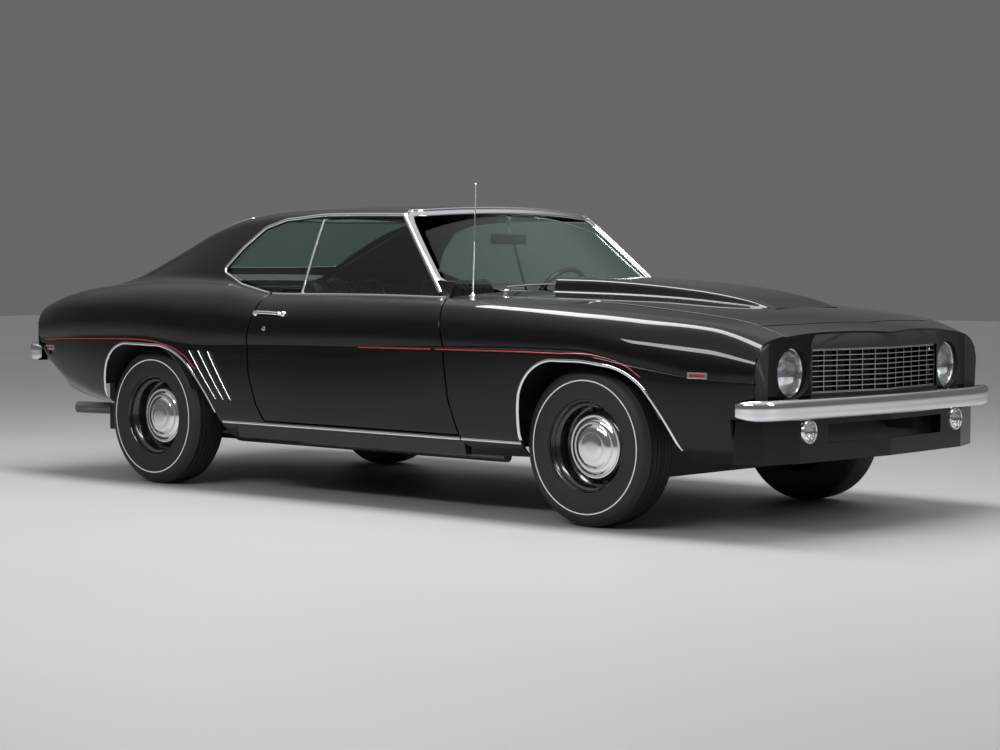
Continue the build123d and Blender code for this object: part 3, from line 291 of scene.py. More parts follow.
def body_skin():
    xs = np.arange(BODY_STATIONS[0][0], BODY_STATIONS[-1][0] + STEP / 2, STEP)
    values = dict(zip(BODY_COLUMNS[1:], flowing(BODY_STATIONS, xs).T))
    sill = values["y_sill"], values["z_sill"]
    low = values["y_low"], values["z_low"]
    belly = values["y_belly"], (values["z_low"] + values["z_crease"]) / 2
    crease = values["y_crease"], values["z_crease"]
    ledge = values["y_crease"] - values["ledge"], values["z_crease"] + values["ledge"]
    rise = values["z_peak"] - values["z_crease"]
    shoulder = values["y_shoulder"], values["z_crease"] + SHOULDER_SHARE * rise
    peak = values["y_peak"], values["z_peak"]
    sag = values["z_centre"] - values["z_peak"]
    radius = (values["y_peak"] ** 2 + sag ** 2) / (2 * sag)
    half_way = values["y_peak"] / 2
    crown = half_way, values["z_centre"] - radius + np.sqrt(radius ** 2 - half_way ** 2)
    centre = np.zeros_like(sag), values["z_centre"]
    foot_middle = (sill[0] + low[0]) / 2 + 1e-4, (sill[1] + low[1]) / 2
    ledge_middle = (crease[0] + ledge[0]) / 2 + 1e-5, (crease[1] + ledge[1]) / 2
    parts = [arc(sill, foot_middle, low, FOOT_ROWS + 1), arc(low, belly, crease, SIDE_ROWS + 1),
             arc(crease, ledge_middle, ledge, LEDGE_ROWS + 1), arc(ledge, shoulder, peak, SHOULDER_ROWS + 1),
             arc(peak, crown, centre, CROWN_ROWS + 1)]
    y = np.concatenate([part[0][:, (0 if n == 0 else 1):] for n, part in enumerate(parts)], axis=1)
    z = np.concatenate([part[1][:, (0 if n == 0 else 1):] for n, part in enumerate(parts)], axis=1)
    rows = np.arange(y.shape[1])
    settle = 0.5 * np.exp(-((rows - PEAK_ROW) / 5.0) ** 2) + 0.3 * np.exp(-((rows - LOW_ROW) / 2.0) ** 2)
    return Skin(xs, y, z, settle, 24)


body = body_skin()

# Place in x, half-width at the foot, half-width and height of the rail and of the crown, and top height.
ROOF_STATIONS = (
    (-1.900, .728, .700, .900, .640, .910, .918),
    (-1.785, .742, .700, .945, .640, .958, .964),
    (-1.640, .756, .672, .992, .606, 1.019, 1.028),
    (-1.380, .780, .640, 1.100, .562, 1.140, 1.151),
    (-1.130, .796, .628, 1.200, .548, 1.240, 1.255),
    (-0.905, .803, .632, 1.252, .550, 1.293, 1.312),
    (-0.600, .808, .645, 1.272, .560, 1.320, 1.347),
    (-0.300, .808, .650, 1.278, .560, 1.325, 1.354),
    (0.100, .808, .650, 1.278, .560, 1.318, 1.342),
    (0.800, .802, .640, 1.262, .550, 1.290, 1.304),
)
ROOF_BASE = 0.880
FILLET = 0.030
TOP_ROWS = 110
CROWN_PUSH, LEAN_PUSH = (0.014, 0.012), 0.008


def shell_skin():
    """The body's side, and above it the roof and its pillars, filled smoothly into the shoulder."""
    xs = body.xs[body.xs < ROOF_STATIONS[-1][0]]
    values = flowing(ROOF_STATIONS, np.maximum(xs, ROOF_STATIONS[0][0]))
    y = np.zeros((len(xs), PEAK_ROW + TOP_ROWS + 1))
    z = np.zeros_like(y)
    for n, x in enumerate(xs):
        y[n, :PEAK_ROW], z[n, :PEAK_ROW] = body.y[n, :PEAK_ROW], body.z[n, :PEAK_ROW]
        base, rail, rail_z, crown, crown_z, top = (np.array([v]) for v in values[n])
        bend = (rail + crown) / 2 + CROWN_PUSH[0], (rail_z + crown_z) / 2 + CROWN_PUSH[1]
        sag = top - crown_z
        radius = (crown ** 2 + sag ** 2) / (2 * sag)
        middle = crown / 2, top - radius + np.sqrt(radius ** 2 - (crown / 2) ** 2)
        lean = (base + rail) / 2 + LEAN_PUSH, (ROOF_BASE + rail_z) / 2
        runs = [arc((base, np.array([ROOF_BASE])), lean, (rail, rail_z), 60),
                arc((rail, rail_z), bend, (crown, crown_z), 24),
                arc((crown, crown_z), middle, (np.zeros(1), top), 60)]
        across = np.concatenate([run[0][0] for run in runs])
        height = np.concatenate([run[1][0] for run in runs])
        order = np.argsort(across)
        fine = np.linspace(body.y[n, PEAK_ROW], 0.0, 1200)
        over = np.interp(fine, across[order], height[order], right=ROOF_BASE - 0.2)
        if x < ROOF_STATIONS[0][0]:
            over[:] = 0.0
        under = np.interp(-fine, -body.y[n, PEAK_ROW:], body.z[n, PEAK_ROW:])
        share = np.clip(0.5 + 0.5 * (over - under) / FILLET, 0, 1)
        joined = under + (over - under) * share + FILLET * share * (1 - share)
        length = np.concatenate([[0], np.cumsum(np.hypot(np.diff(fine), np.diff(joined)))])
        stops = np.linspace(0, length[-1], TOP_ROWS + 1)
        y[n, PEAK_ROW:] = np.interp(stops, length, fine)
        z[n, PEAK_ROW:] = np.interp(stops, length, joined)
    settle = np.full(y.shape[1], 0.25)
    settle[:PEAK_ROW - 6] = 0.0
    return Skin(xs, y, z, settle, 6)


shell = shell_skin()


def clear_selection():
    if bpy.context.object and bpy.context.object.mode != "OBJECT":
        bpy.ops.object.mode_set(mode="OBJECT")
    bpy.ops.object.select_all(action="DESELECT")


def edit_whole(piece, *steps):
    """Runs mesh operators, each with its settings, on the whole of one piece."""
    clear_selection()
    bpy.context.view_layer.objects.active = piece
    piece.select_set(True)
    bpy.ops.object.mode_set(mode="EDIT")
    bpy.ops.mesh.select_all(action="SELECT")
    for operator, settings in steps:
        operator(**settings)
    bpy.ops.object.mode_set(mode="OBJECT")


def smooth_up_to(piece, degrees):
    """Smooth shading across edges flatter than the given angle."""
    clear_selection()
    bpy.context.view_layer.objects.active = piece
    piece.select_set(True)
    bpy.ops.object.shade_smooth_by_angle(angle=math.radians(degrees))
    piece.select_set(False)


def new_piece(name, vertices, faces, finish, rides, smooth=True, normals=None):
    """A mesh piece at the world origin, with its finish and the body it moves with."""
    mesh = bpy.data.meshes.new(name)
    mesh.from_pydata([tuple(v) for v in vertices], [], faces)
    mesh.validate()
    piece = bpy.data.objects.new(name, mesh)
    scene.collection.objects.link(piece)
    mesh.materials.append(finish.material)
    if smooth:
        mesh.shade_smooth()
    if normals is not None:
        mesh.normals_split_custom_set_from_vertices([tuple(n) for n in normals])
    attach(piece, rides)
    return piece


def spaced(points, gap, closed=True):
    """The same outline with points no further apart than `gap`."""
    result = []
    count = len(points)
    for n in range(count if closed else count - 1):
        a, b = np.array(points[n], float), np.array(points[(n + 1) % count], float)
        parts = max(1, int(math.ceil(np.linalg.norm(b - a) / gap)))
        result += [a + (b - a) * k / parts for k in range(parts)]
    if not closed:
        result.append(np.array(points[-1], float))
    return np.array(result)


def rounded(points, radius, closed=True):
    """The outline with each corner replaced by a short curve."""
    result = []
    count = len(points)
    for n in range(count):
        here = np.array(points[n], float)
        if not closed and n in (0, count - 1):
            result.append(here)
            continue
        before, after = np.array(points[n - 1], float), np.array(points[(n + 1) % count], float)
        cut_a = min(radius, np.linalg.norm(before - here) * 0.45)
        cut_b = min(radius, np.linalg.norm(after - here) * 0.45)
        a = here + (before - here) / np.linalg.norm(before - here) * cut_a
        b = here + (after - here) / np.linalg.norm(after - here) * cut_b
        for s in (0.0, 0.25, 0.5, 0.75, 1.0):
            result.append((1 - s) ** 2 * a + 2 * s * (1 - s) * here + s ** 2 * b)
    return result


def inside(points, outline):
    """Which points lie inside a closed outline."""
    hit = np.zeros(len(points), bool)
    px, py = points[:, 0], points[:, 1]
    for a, b in zip(outline, np.roll(outline, -1, axis=0)):
        crosses = (a[1] > py) != (b[1] > py)
        with np.errstate(divide="ignore", invalid="ignore"):
            reach = (b[0] - a[0]) * (py - a[1]) / (b[1] - a[1]) + a[0]
        hit ^= crosses & (px < reach)
    return hit


def far_from(points, outline, gap):
    keep = np.ones(len(points), bool)
    for a, b in zip(outline, np.roll(outline, -1, axis=0)):
        run = b - a
        length = max(float(run @ run), 1e-12)
        s = np.clip(((points - a) @ run) / length, 0, 1)[:, None]
        keep &= np.linalg.norm(points - (a + s * run), axis=1) > gap
    return keep


def inset(outline, amount):
    """A closed, evenly spaced outline moved in by `amount`; it runs anticlockwise."""
    ahead, behind = np.roll(outline, -1, axis=0), np.roll(outline, 1, axis=0)
    tangent = ahead - behind
    tangent /= np.maximum(np.linalg.norm(tangent, axis=1, keepdims=True), 1e-9)
    return outline + np.stack([-tangent[:, 1], tangent[:, 0]], axis=1) * amount


def anticlockwise(outline):
    ahead = np.roll(outline, -1, axis=0)
    area = np.sum(outline[:, 0] * ahead[:, 1] - ahead[:, 0] * outline[:, 1])
    return outline if area > 0 else outline[::-1]


def filled(loops, field, gap):
    """Flat faces between an outline and its holes, through field points that keep `gap` away.

    Returns the points, the faces, and for each loop the numbers of its points."""
    keep = inside(field, loops[0]) & far_from(field, loops[0], gap)
    for loop in loops[1:]:
        keep &= ~inside(field, loop) & far_from(field, loop, gap)
    points, edges, starts = list(field[keep]), [], []
    for loop in loops:
        starts.append(len(points))
        edges += [(len(points) + n, len(points) + (n + 1) % len(loop)) for n in range(len(loop))]
        points += list(loop)
    made = delaunay_2d_cdt([Vector(p) for p in points], edges, [], 0, 1e-7)
    spots = np.array([tuple(v) for v in made[0]])
    middle = np.array([spots[list(f)].mean(axis=0) for f in made[2]])
    good = inside(middle, loops[0])
    for loop in loops[1:]:
        good &= ~inside(middle, loop)
    number = {origin: n for n, origins in enumerate(made[3]) for origin in origins}
    rings = [[number[start + n] for n in range(len(loop))] for start, loop in zip(starts, loops)]
    return spots, [list(f) for f, ok in zip(made[2], good) if ok], rings


HEM, SHEET = 0.0025, 0.007
HEM_TURNS = (30, 60, 90)


def pressed_panel(name, skin, outline, finish, rides, side=1, grid=0.018, hem=HEM, holes=(), lines=()):
    """A sheet on the skin inside an outline of (x, row) points, with a rolled hem and a back.

    side is 1 for the left and -1 for the right, or 1 with rows that run on past the middle."""
    scale = np.array([1.0, ROW_SIZE])
    loops = [anticlockwise(np.array(outline, float) * scale)]
    loops += [anticlockwise(np.array(hole, float) * scale)[::-1] for hole in holes]
    loops = [spaced(loop, grid * 0.8) for loop in loops]
    tucked = [inset(loop, hem) for loop in loops]
    low, high = loops[0].min(axis=0), loops[0].max(axis=0)
    xs = np.arange(math.floor(low[0] / grid), math.ceil(high[0] / grid) + 1) * grid
    rows = np.arange(math.floor(low[1] / grid), math.ceil(high[1] / grid) + 1) * grid
    rows = np.array(sorted(set(np.round(rows, 6)) | {round(line * ROW_SIZE, 6) for line in lines}))
    for line in lines:
        near = np.abs(rows - line * ROW_SIZE)
        rows = rows[(near > grid * 0.35) | (near < 1e-6)]
    field = np.array([(x, r) for x in xs for r in rows])
    spots, faces, tucked_rings = filled(tucked, field, grid * 0.35)
    surface, normal = skin.at(spots[:, 0], spots[:, 1] / ROW_SIZE)
    vertices, normals = [surface, surface - normal * SHEET], [normal, -normal]
    count = len(spots)
    solid = [tuple(f) for f in faces] + [tuple(count + k for k in reversed(f)) for f in faces]
    total = 2 * count
    for loop, tuck, first_ring in zip(loops, tucked, tucked_rings):
        size = len(loop)
        edge_place, edge_normal = skin.at(loop[:, 0], loop[:, 1] / ROW_SIZE)
        tuck_place, _ = skin.at(tuck[:, 0], tuck[:, 1] / ROW_SIZE)
        away = edge_place - tuck_place
        away -= edge_normal * np.sum(away * edge_normal, axis=1)[:, None]
        away /= np.maximum(np.linalg.norm(away, axis=1, keepdims=True), 1e-9)
        for turn in HEM_TURNS:
            s, c = math.sin(math.radians(turn)), math.cos(math.radians(turn))
            vertices.append(edge_place - away * hem * (1 - s) - edge_normal * hem * (1 - c))
            normals.append(away * s + edge_normal * c)
        vertices.append(edge_place - edge_normal * SHEET)
        normals.append(away)
        rings = [first_ring]
        for _ in range(len(HEM_TURNS) + 1):
            rings.append([total + n for n in range(size)])
            total += size
        rings.append([count + n for n in first_ring])
        for outer, inner in zip(rings, rings[1:]):
            for n in range(size):
                after = (n + 1) % size
                solid.append((outer[after], outer[n], inner[n], inner[after]))
    vertices, normals = np.concatenate(vertices), np.concatenate(normals)
    turned_faces = [tuple(reversed(f)) for f in solid] if side > 0 else solid
    flip = np.array([1, side, 1])
    return new_piece(name, vertices * flip, turned_faces, finish, rides, normals=normals * flip)


def along_height(skin, points):
    return [(x, skin.row_at_height(x, z)) for x, z in points]


def along_width(skin, points):
    return [(x, skin.row_at_width(x, y)) for x, y in points]


def both_sides(skin, points):
    """The left half of an outline, from the middle round to the middle, with its mirror image."""
    last = 2 * (skin.rows - 1)
    return points + [(x, last - row) for x, row in reversed(points) if row < skin.rows - 1.5]


# ================================================================== body shell
# Roof, pillars, quarter panels and rockers are welded into one black shell.
# It is open for the doors, the side glass, the back glass, the deck lid and the rear wheels.
GAP = 0.007
SIDES = ((1, "left"), (-1, "right"))


def arc_through(a, b, c, count=10):
    """Points on the arc through three flat points, without the last one."""
    a, b, c = (np.array(p, float).reshape(2, 1) for p in (a, b, c))
    first, second = arc((a[0], a[1]), (b[0], b[1]), (c[0], c[1]), count)
    return [(float(p), float(q)) for p, q in zip(first[0], second[0])][:-1]


def wheel_opening(p):
    """Foot, arc, arc, flat top, arc, arc and foot of a wheel opening in side view."""
    front = arc_through(p[1], p[2], p[3], 14) + arc_through(p[3], p[4], p[5], 10)
    back = arc_through(p[6], p[7], p[8], 12) + arc_through(p[8], p[9], p[10], 10)
    return [p[0]] + front + [p[5]] + back + [p[10], p[11]]


REAR_ARCH = wheel_opening([
    (-.784, .150), (-.795, .299), (-.866, .430), (-1.002, .593), (-1.094, .652), (-1.267, .682),
    (-1.423, .685), (-1.559, .650), (-1.629, .565), (-1.662, .470), (-1.674, .350), (-1.674, .150)])
FRONT_ARCH = wheel_opening([
    (1.902, .150), (1.897, .320), (1.827, .470), (1.740, .589), (1.647, .650), (1.535, .675),
    (1.316, .685), (1.162, .638), (1.094, .540), (1.081, .420), (1.086, .320), (1.090, .150)])
DOOR_FRONT = [(.586, .940), (.588, .926), (.625, .810), (.651, .714), (.676, .501), (.727, .350)]
DOOR_REAR = [(-.499, .350), (-.544, .424), (-.583, .562), (-.593, .715), (-.561, .839), (-.549, .930)]
WINDOW = [(.505, .950), (.176, 1.272), (.160, 1.283), (-.370, 1.288), (-.605, 1.270), (-.742, 1.232),
          (-.856, 1.140), (-.934, 1.038), (-.779, .984), (-.560, .944)]
PILLAR_FOOT_X, SILL_TOP, TAIL_FACE_X = .583, .343, -2.2905
DECK_FRONT, DECK_REAR, DECK_HALF = -1.6515, -2.2185, .6035
SCREEN_BASE, SCREEN_RADIUS = Vector((.700, 0, .960)), 2.600
SCREEN_RISE = Vector((.262 - .700, 0, 1.318 - .960)).normalized()
SCREEN_OUT = Vector((SCREEN_RISE.z, 0, -SCREEN_RISE.x))


def header_x(row):
    """Where a row of the shell runs into the face of the windshield."""
    xs = np.arange(0.15, 0.70, 0.002)
    place, _ = shell.at(xs, np.full(len(xs), row))
    out = (place - np.array(SCREEN_BASE)) @ np.array(SCREEN_OUT)
    out += SCREEN_RADIUS - np.sqrt(SCREEN_RADIUS ** 2 - place[:, 1] ** 2)
    return float(np.interp(0.0, out, xs))


MIDDLE_ROW = shell.rows - 1
belt_row = shell.row_at_width(0.560, 0.760)
header = [(header_x(row), row) for row in np.linspace(MIDDLE_ROW, belt_row, 26)]
header = [(x, row) for x, row in header if x < 0.585]
quarter = (header + along_width(shell, [(PILLAR_FOOT_X, .762), (PILLAR_FOOT_X, .800)])
           + along_height(shell, WINDOW) + along_height(shell, [(x - GAP, z) for x, z in DOOR_REAR[:0:-1]])
           + [(-.506, shell.row_at_height(-.506, SILL_TOP)), (.734, body.row_at_height(.73, SILL_TOP)),
              (.740, 0.0), (-.780, 0.0)] + along_height(shell, REAR_ARCH[1:-1])
           + [(-1.674, shell.row_at_height(-1.674, .372)), (-1.700, 0.0), (-2.050, 0.0), (-2.190, 0.0),
              (-2.236, shell.row_at_height(-2.236, .640))]
           + along_width(shell, [(-2.262, .840), (-2.290, .700)]) + [(TAIL_FACE_X, MIDDLE_ROW)])
deck_hole = ([(DECK_REAR, MIDDLE_ROW)]
             + along_width(shell, [(DECK_REAR, DECK_HALF), (DECK_FRONT, DECK_HALF)])
             + [(DECK_FRONT, MIDDLE_ROW)])
glass_hole = ([(-1.592, MIDDLE_ROW)]
              + along_width(shell, [(-1.585, .300), (-1.560, .588), (-1.250, .574), (-.935, .558),
                                    (-.950, .300)])
              + [(-.957, MIDDLE_ROW)])
mirrored_rows = (2 * MIDDLE_ROW - CREASE_ROW, 2 * MIDDLE_ROW - LEDGE_ROW)
shell_piece = pressed_panel("shell_skin", shell, both_sides(shell, quarter), paint, "body", grid=0.020,
                            holes=(both_sides(shell, deck_hole), both_sides(shell, glass_hole)),
                            lines=(CREASE_ROW, LEDGE_ROW) + mirrored_rows)
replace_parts(shell_piece, "body_shell")

FACE_GRID, FACE_EDGE_GAP, UNDER_TOP = 0.02, 0.016, 0.0012


def end_face(name, skin, face_x, half, foot, depth, holes=()):
    """The upright sheet that closes the body at one end, bent in plan and rounded into the top."""
    stops = np.linspace(-half, half, 141)
    tops = []
    for y in stops:
        x = face_x(abs(y))
        place, _ = skin.at(np.full(skin.rows, x), np.arange(skin.rows))
        start = int(np.argmax(place[:, 1]))
        tops.append(float(np.interp(-abs(y), -place[start:, 1], place[start:, 2])))
    outline = [(-half, foot), (half, foot)] + [(y, z - UNDER_TOP) for y, z in zip(stops[::-1], tops[::-1])]
    way = 1 if face_x(0.0) > 0 else -1
    loops = [spaced(anticlockwise(np.array(outline)), FACE_EDGE_GAP)]
    loops += [anticlockwise(np.array(hole, float))[::-1] for hole in holes]
    field = np.array([(y, z) for y in np.arange(-half, half, FACE_GRID)
                      for z in np.arange(foot, 0.95, FACE_GRID)])
    spots, faces, _ = filled(loops, field, 0.008)
    front = np.array([(face_x(abs(y)), y, z) for y, z in spots])
    back = front - np.array([way * depth, 0, 0])
    count = len(front)
    solid = [tuple(f) if way > 0 else tuple(reversed(f)) for f in faces]
    solid += [tuple(count + k for k in (reversed(f) if way > 0 else f)) for f in faces]
    rim = {(a, b): True for f in solid[:len(faces)] for a, b in zip(f, f[1:] + f[:1])}
    solid += [(b, a, count + a, count + b) for a, b in rim if (b, a) not in rim]
    smooth_up_to(new_piece(name, np.concatenate([front, back]), solid, paint, "body"), 30)


def along(points):
    """A place in x for each half-width y, from a few corners, eased round them."""
    ys, xs = np.array([p[1] for p in points]), np.array([p[0] for p in points])

    def reach(y):
        near = np.interp([y - 0.03, y - 0.015, y, y + 0.015, y + 0.03], ys, xs)
        return float(near.mean()) if y > 0.03 else float(xs[0] - (xs[0] - near[4]) * 0.5)
    return reach


tail_x = along([(-2.291, 0.0), (-2.291, .700), (-2.262, .868)])
end_face("tail_panel", shell, tail_x, .846, .575, 0.012)

# ================================================================== front fenders
# Each fender is one pressing from the door to the headlamp, with a flat-topped wheel opening.
# It is bolted to the inner fender along the hood gap.
FENDER_HALF = .617
for side, word in SIDES:
    edge = along_height(body, [(x + GAP, z) for x, z in DOOR_FRONT])
    outline = ([(2.110, 0.0), (1.900, 0.0)] + along_height(body, FRONT_ARCH[1:-1])
               + [(1.087, 0.0), (.900, 0.0), (.747, 0.0), (.740, body.row_at_height(.740, .340))]
               + edge[::-1]
               + along_width(body, [(.593, .790), (.593, .664), (.740, .662), (2.105, FENDER_HALF),
                                    (2.222, FENDER_HALF), (2.222, .720)])
               + along_height(body, [(2.226, .690), (2.219, .478), (2.119, .478)]) + [(2.118, 0.0)])
    pressed_panel("fender_skin_" + word, body, outline, paint, "body", side=side,
                  lines=(CREASE_ROW, LEDGE_ROW))


def frame_behind(node, rides, depth=0.009, near=0.006, reach=0.05):
    """A copy of a pressing's solid whose outer face sits inside the skin that covers it."""
    piece = bpy.data.objects.new(node + "_structure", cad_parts[node].data.copy())
    scene.collection.objects.link(piece)
    mesh = piece.data
    edit_whole(piece, (bpy.ops.mesh.remove_doubles, {"threshold": 0.00005}))
    places = np.array([tuple(v.co) for v in mesh.vertices])
    half = np.abs(places[:, 1])
    columns = np.clip(((places[:, 0] - body.xs[0]) / STEP).astype(int), 0, len(body.xs) - 1)
    for n, (x, y, z) in enumerate(places):
        if not body.xs[0] - 0.01 < x < body.xs[-1] + 0.01:
            continue
        column = body.grid[columns[n]]
        gap = np.hypot(column[:, 1] - half[n], column[:, 2] - z)
        row = int(np.argmin(gap))
        normal = body.normal[columns[n], row]
        offset = (half[n] - column[row, 1]) * normal[1] + (z - column[row, 2]) * normal[2]
        if gap[row] < reach and offset > -near:
            move = -(offset + depth)
            way = 1 if y >= 0 else -1
            mesh.vertices[n].co += Vector((0, normal[1] * way * move, normal[2] * move))
    mesh.materials.clear()
    mesh.materials.append(frame_paint.material)
    mesh.shade_smooth()
    smooth_up_to(piece, 30)
    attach(piece, rides)
    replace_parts(piece, node)


for side, word in SIDES:
    frame_behind("fender_" + word, "body")

# ================================================================== doors
# Each door is a long frameless pressing with a swept rear edge, hung at its front edge.
# A separate inner panel, painted black, closes its back.
for side, word in SIDES:
    front, back = along_height(body, DOOR_FRONT), along_height(body, DOOR_REAR)
    top = along_width(body, [(-.549, .785), (.100, .783), (.585, .783)])
    outline = rounded(front[1:] + back[:-1], 0.018, False) + [back[-1]] + top + [front[0]]
    pressed_panel("door_skin_" + word, body, outline, paint, "door_" + word, side=side,
                  lines=(CREASE_ROW, LEDGE_ROW))
    frame_behind("door_" + word, "door_" + word)

# ================================================================== hood, cowl and deck lid
# The hood is a flat pressing with a raised scoop welded on, open at its rear edge.
# The deck lid and the cowl panel ahead of the windshield are plain pressings.
TOP_MIDDLE = body.rows - 1
hood_edge = ([(.740, TOP_MIDDLE)]
             + along_width(body, [(.740, .330), (.740, .655), (1.4, .6333), (2.105, .610), (2.150, .400)])
             + [(2.2045, TOP_MIDDLE)])
pressed_panel("hood_skin", body, both_sides(body, hood_edge), paint, "hood", grid=0.022, hem=0.004)
frame_behind("hood", "hood", reach=0.10)

# Place in x, half-width and height of the scoop, from its mouth forward.
SCOOP = ((.762, .300, 1.020), (.930, .293, 1.018), (1.100, .285, 1.011), (1.500, .265, .979),
         (1.760, .247, .938), (1.900, .235, .897))
# Half of its cross-section: width beyond (+) or short of (-) the half-width, and share of the height.
SCOOP_SIDE = ((0.014, 0.0), (0.006, 0.06), (0.001, 0.22), (-0.003, 0.55), (-0.009, 0.76), (-0.020, 0.90),
              (-0.038, 0.965), (-0.065, 0.985))
# Steps of the rolled mouth: how far ahead, and how much smaller.
SCOOP_MOUTH = ((0.0, 0.010), (0.0, 0.012), (0.075, 0.013))


def scoop_section(x, half, top):
    """Half of one section: up the rounded side and in to the middle."""
    foot, _ = body.at([x], [body.row_at_width(x, half + SCOOP_SIDE[0][0])])
    low = float(foot[0][2]) - 0.003
    rise = max(top - low, 0.001)
    side = [(x, half + more, low + rise * share) for more, share in SCOOP_SIDE]
    inner, last = side[-1][1], SCOOP_SIDE[-1][1]
    crown = [(x, inner * (1 - s), low + rise * (last + (1 - last) * math.sin(s * math.pi / 2)))
             for s in (0.25, 0.5, 0.75, 1.0)]
    return side + crown


def scoop_piece():
    xs = np.concatenate([np.linspace(.762, 1.88, 60), [1.892, 1.900]])
    grid = []
    for x, (half, top) in zip(xs, flowing(SCOOP, xs)):
        left = scoop_section(float(x), float(half), float(top))
        grid.append(left + [(a, -b, c) for a, b, c in reversed(left[:-1])])
    count = len(grid[0])
    crest = grid[0][count // 2][2]
    vertices = [p for section in grid for p in section]
    faces = [(i * count + j, (i + 1) * count + j, (i + 1) * count + j + 1, i * count + j + 1)
             for i in range(len(grid) - 1) for j in range(count - 1)]
    mouth = [0]
    for push, shrink in SCOOP_MOUTH:
        mouth.append(len(vertices))
        for a, b, c in grid[0]:
            inward = max(abs(b) - shrink, 0.0) * (1 if b > 0 else -1)
            low = min(c, crest - shrink) if abs(b) < .29 else c - shrink * 0.3
            vertices.append((a + push, inward, low))
    for a, b in zip(mouth, mouth[1:]):
        faces += [(a + j, a + j + 1, b + j + 1, b + j) for j in range(count - 1)]
    faces.append(tuple(mouth[-1] + j for j in range(count)))
    piece = new_piece("hood_scoop", vertices, faces, paint, "hood")
    edit_whole(piece, (bpy.ops.mesh.normals_make_consistent, {"inside": False}))
    smooth_up_to(piece, 40)


scoop_piece()

cowl_edge = ([(.733, TOP_MIDDLE)] + along_width(body, [(.733, .655), (.560, .655)]) + [(.640, TOP_MIDDLE)])
pressed_panel("cowl_panel", body, both_sides(body, cowl_edge), paint, "body")

deck_edge = ([(-2.215, TOP_MIDDLE)] + along_width(body, [(-2.215, .600), (-1.655, .600)])
             + [(-1.655, TOP_MIDDLE)])
pressed_panel("deck_skin", body, both_sides(body, deck_edge), paint, "decklid", grid=0.022, hem=0.004)
frame_behind("decklid", "decklid")

# ================================================================== nose panel
# A header panel joins the fenders above the grille, and carries the headlamps.
nose_x = along([(2.317, 0.0), (2.240, .500), (2.222, .700), (2.228, .830)])
NOSE_HALF = .6165
LAMP_Y, LAMP_Z, LAMP_HOLE = .570, .652, .1005
nose_edge = ([(2.2115, TOP_MIDDLE)]
             + along_width(body, [(2.157, .400), (2.112, .612), (2.112, NOSE_HALF),
                                  (nose_x(NOSE_HALF), NOSE_HALF)])
             + along_width(body, [(nose_x(y), y) for y in np.linspace(.60, .02, 24)])
             + [(nose_x(0.0), TOP_MIDDLE)])
pressed_panel("nose_top", body, both_sides(body, nose_edge), paint, "body", hem=0.003)
around = np.linspace(0, 2 * math.pi, 64, endpoint=False)
ring = [(LAMP_HOLE * math.cos(a), LAMP_HOLE * math.sin(a)) for a in around]
lamp_holes = [[(side * LAMP_Y + a, LAMP_Z + b) for a, b in ring] for side, _ in SIDES]
grille_hole = [spaced([(-.462, .566), (.462, .566), (.462, .744), (-.462, .744)], 0.012)]
end_face("nose_face", body, nose_x, .806, .480, 0.020, holes=lamp_holes + grille_hole)
frame_behind("nose_panel", "body")

# ================================================================== bright mouldings
# Polished stainless strips trim the arches, rockers, windows and drip rails.
# Each is rolled to a shallow half-round and clipped on; a red line is painted along the crease.
chrome = grained("polished_chrome", (0.82, 0.82, 0.83), 0.07, 5.0,
                 (0.78, 0.78, 0.79), (0.86, 0.86, 0.87), metal=1.0)
chrome.bump(chrome.grain(120.0, 0.0), 0.015, 0.0005)
red_line = grained("red_pinstripe", (0.42, 0.012, 0.012), 0.25, 30.0,
                   (0.38, 0.010, 0.010), (0.46, 0.015, 0.015), coat=0.8)


def path_on(skin, points, gap=0.010, closed=False, side=1, soft=0.02):
    """Evenly spaced places and normals along (x, row) points laid on a skin."""
    flat = np.array(points, float) * np.array([1.0, ROW_SIZE])
    if soft:
        flat = np.array(rounded([tuple(p) for p in flat], soft, closed))
    flat = spaced(flat, gap, closed)
    place, normal = skin.at(flat[:, 0], flat[:, 1] / ROW_SIZE)
    flip = np.array([1, side, 1])
    return place * flip, normal * flip


def tube_faces(count, size, closed=False):
    """Quads along a sweep of `count` sections of `size` points, capped at its ends if it is open."""
    faces = []
    for i in range(count if closed else count - 1):
        k = (i + 1) % count
        faces += [(i * size + j, i * size + (j + 1) % size, k * size + (j + 1) % size, k * size + j)
                  for j in range(size)]
    if not closed:
        faces += [tuple(range(size))[::-1], tuple((count - 1) * size + j for j in range(size))]
    return faces


def put_right(piece, degrees=40):
    """Faces turned outwards, doubles merged, and smooth shading up to an angle."""
    edit_whole(piece, (bpy.ops.mesh.remove_doubles, {"threshold": 0.00002}),
               (bpy.ops.mesh.normals_make_consistent, {"inside": False}))
    smooth_up_to(piece, degrees)


def moulding(name, path, width, height, finish, rides, closed=False, out=0.0):
    """A shallow half-round strip swept along places with their normals."""
    place, normal = path
    ahead = np.roll(place, -1, axis=0) - np.roll(place, 1, axis=0)
    if not closed:
        ahead[0], ahead[-1] = place[1] - place[0], place[-1] - place[-2]
    ahead /= np.linalg.norm(ahead, axis=1, keepdims=True)
    aside = np.cross(normal, ahead)
    aside /= np.linalg.norm(aside, axis=1, keepdims=True)
    normal = np.cross(ahead, aside)
    crown = [(-math.cos(a), math.sin(a)) for a in np.linspace(0, np.pi, 9)]
    shape = [(-1.0, -0.25)] + crown + [(1.0, -0.25)]
    vertices = [place + aside * (u * width / 2) + normal * (v * height + out) for u, v in shape]
    grid = np.stack(vertices, axis=1).reshape(-1, 3)
    piece = new_piece(name, grid, tube_faces(len(place), len(shape), closed), finish, rides)
    put_right(piece)
    return piece


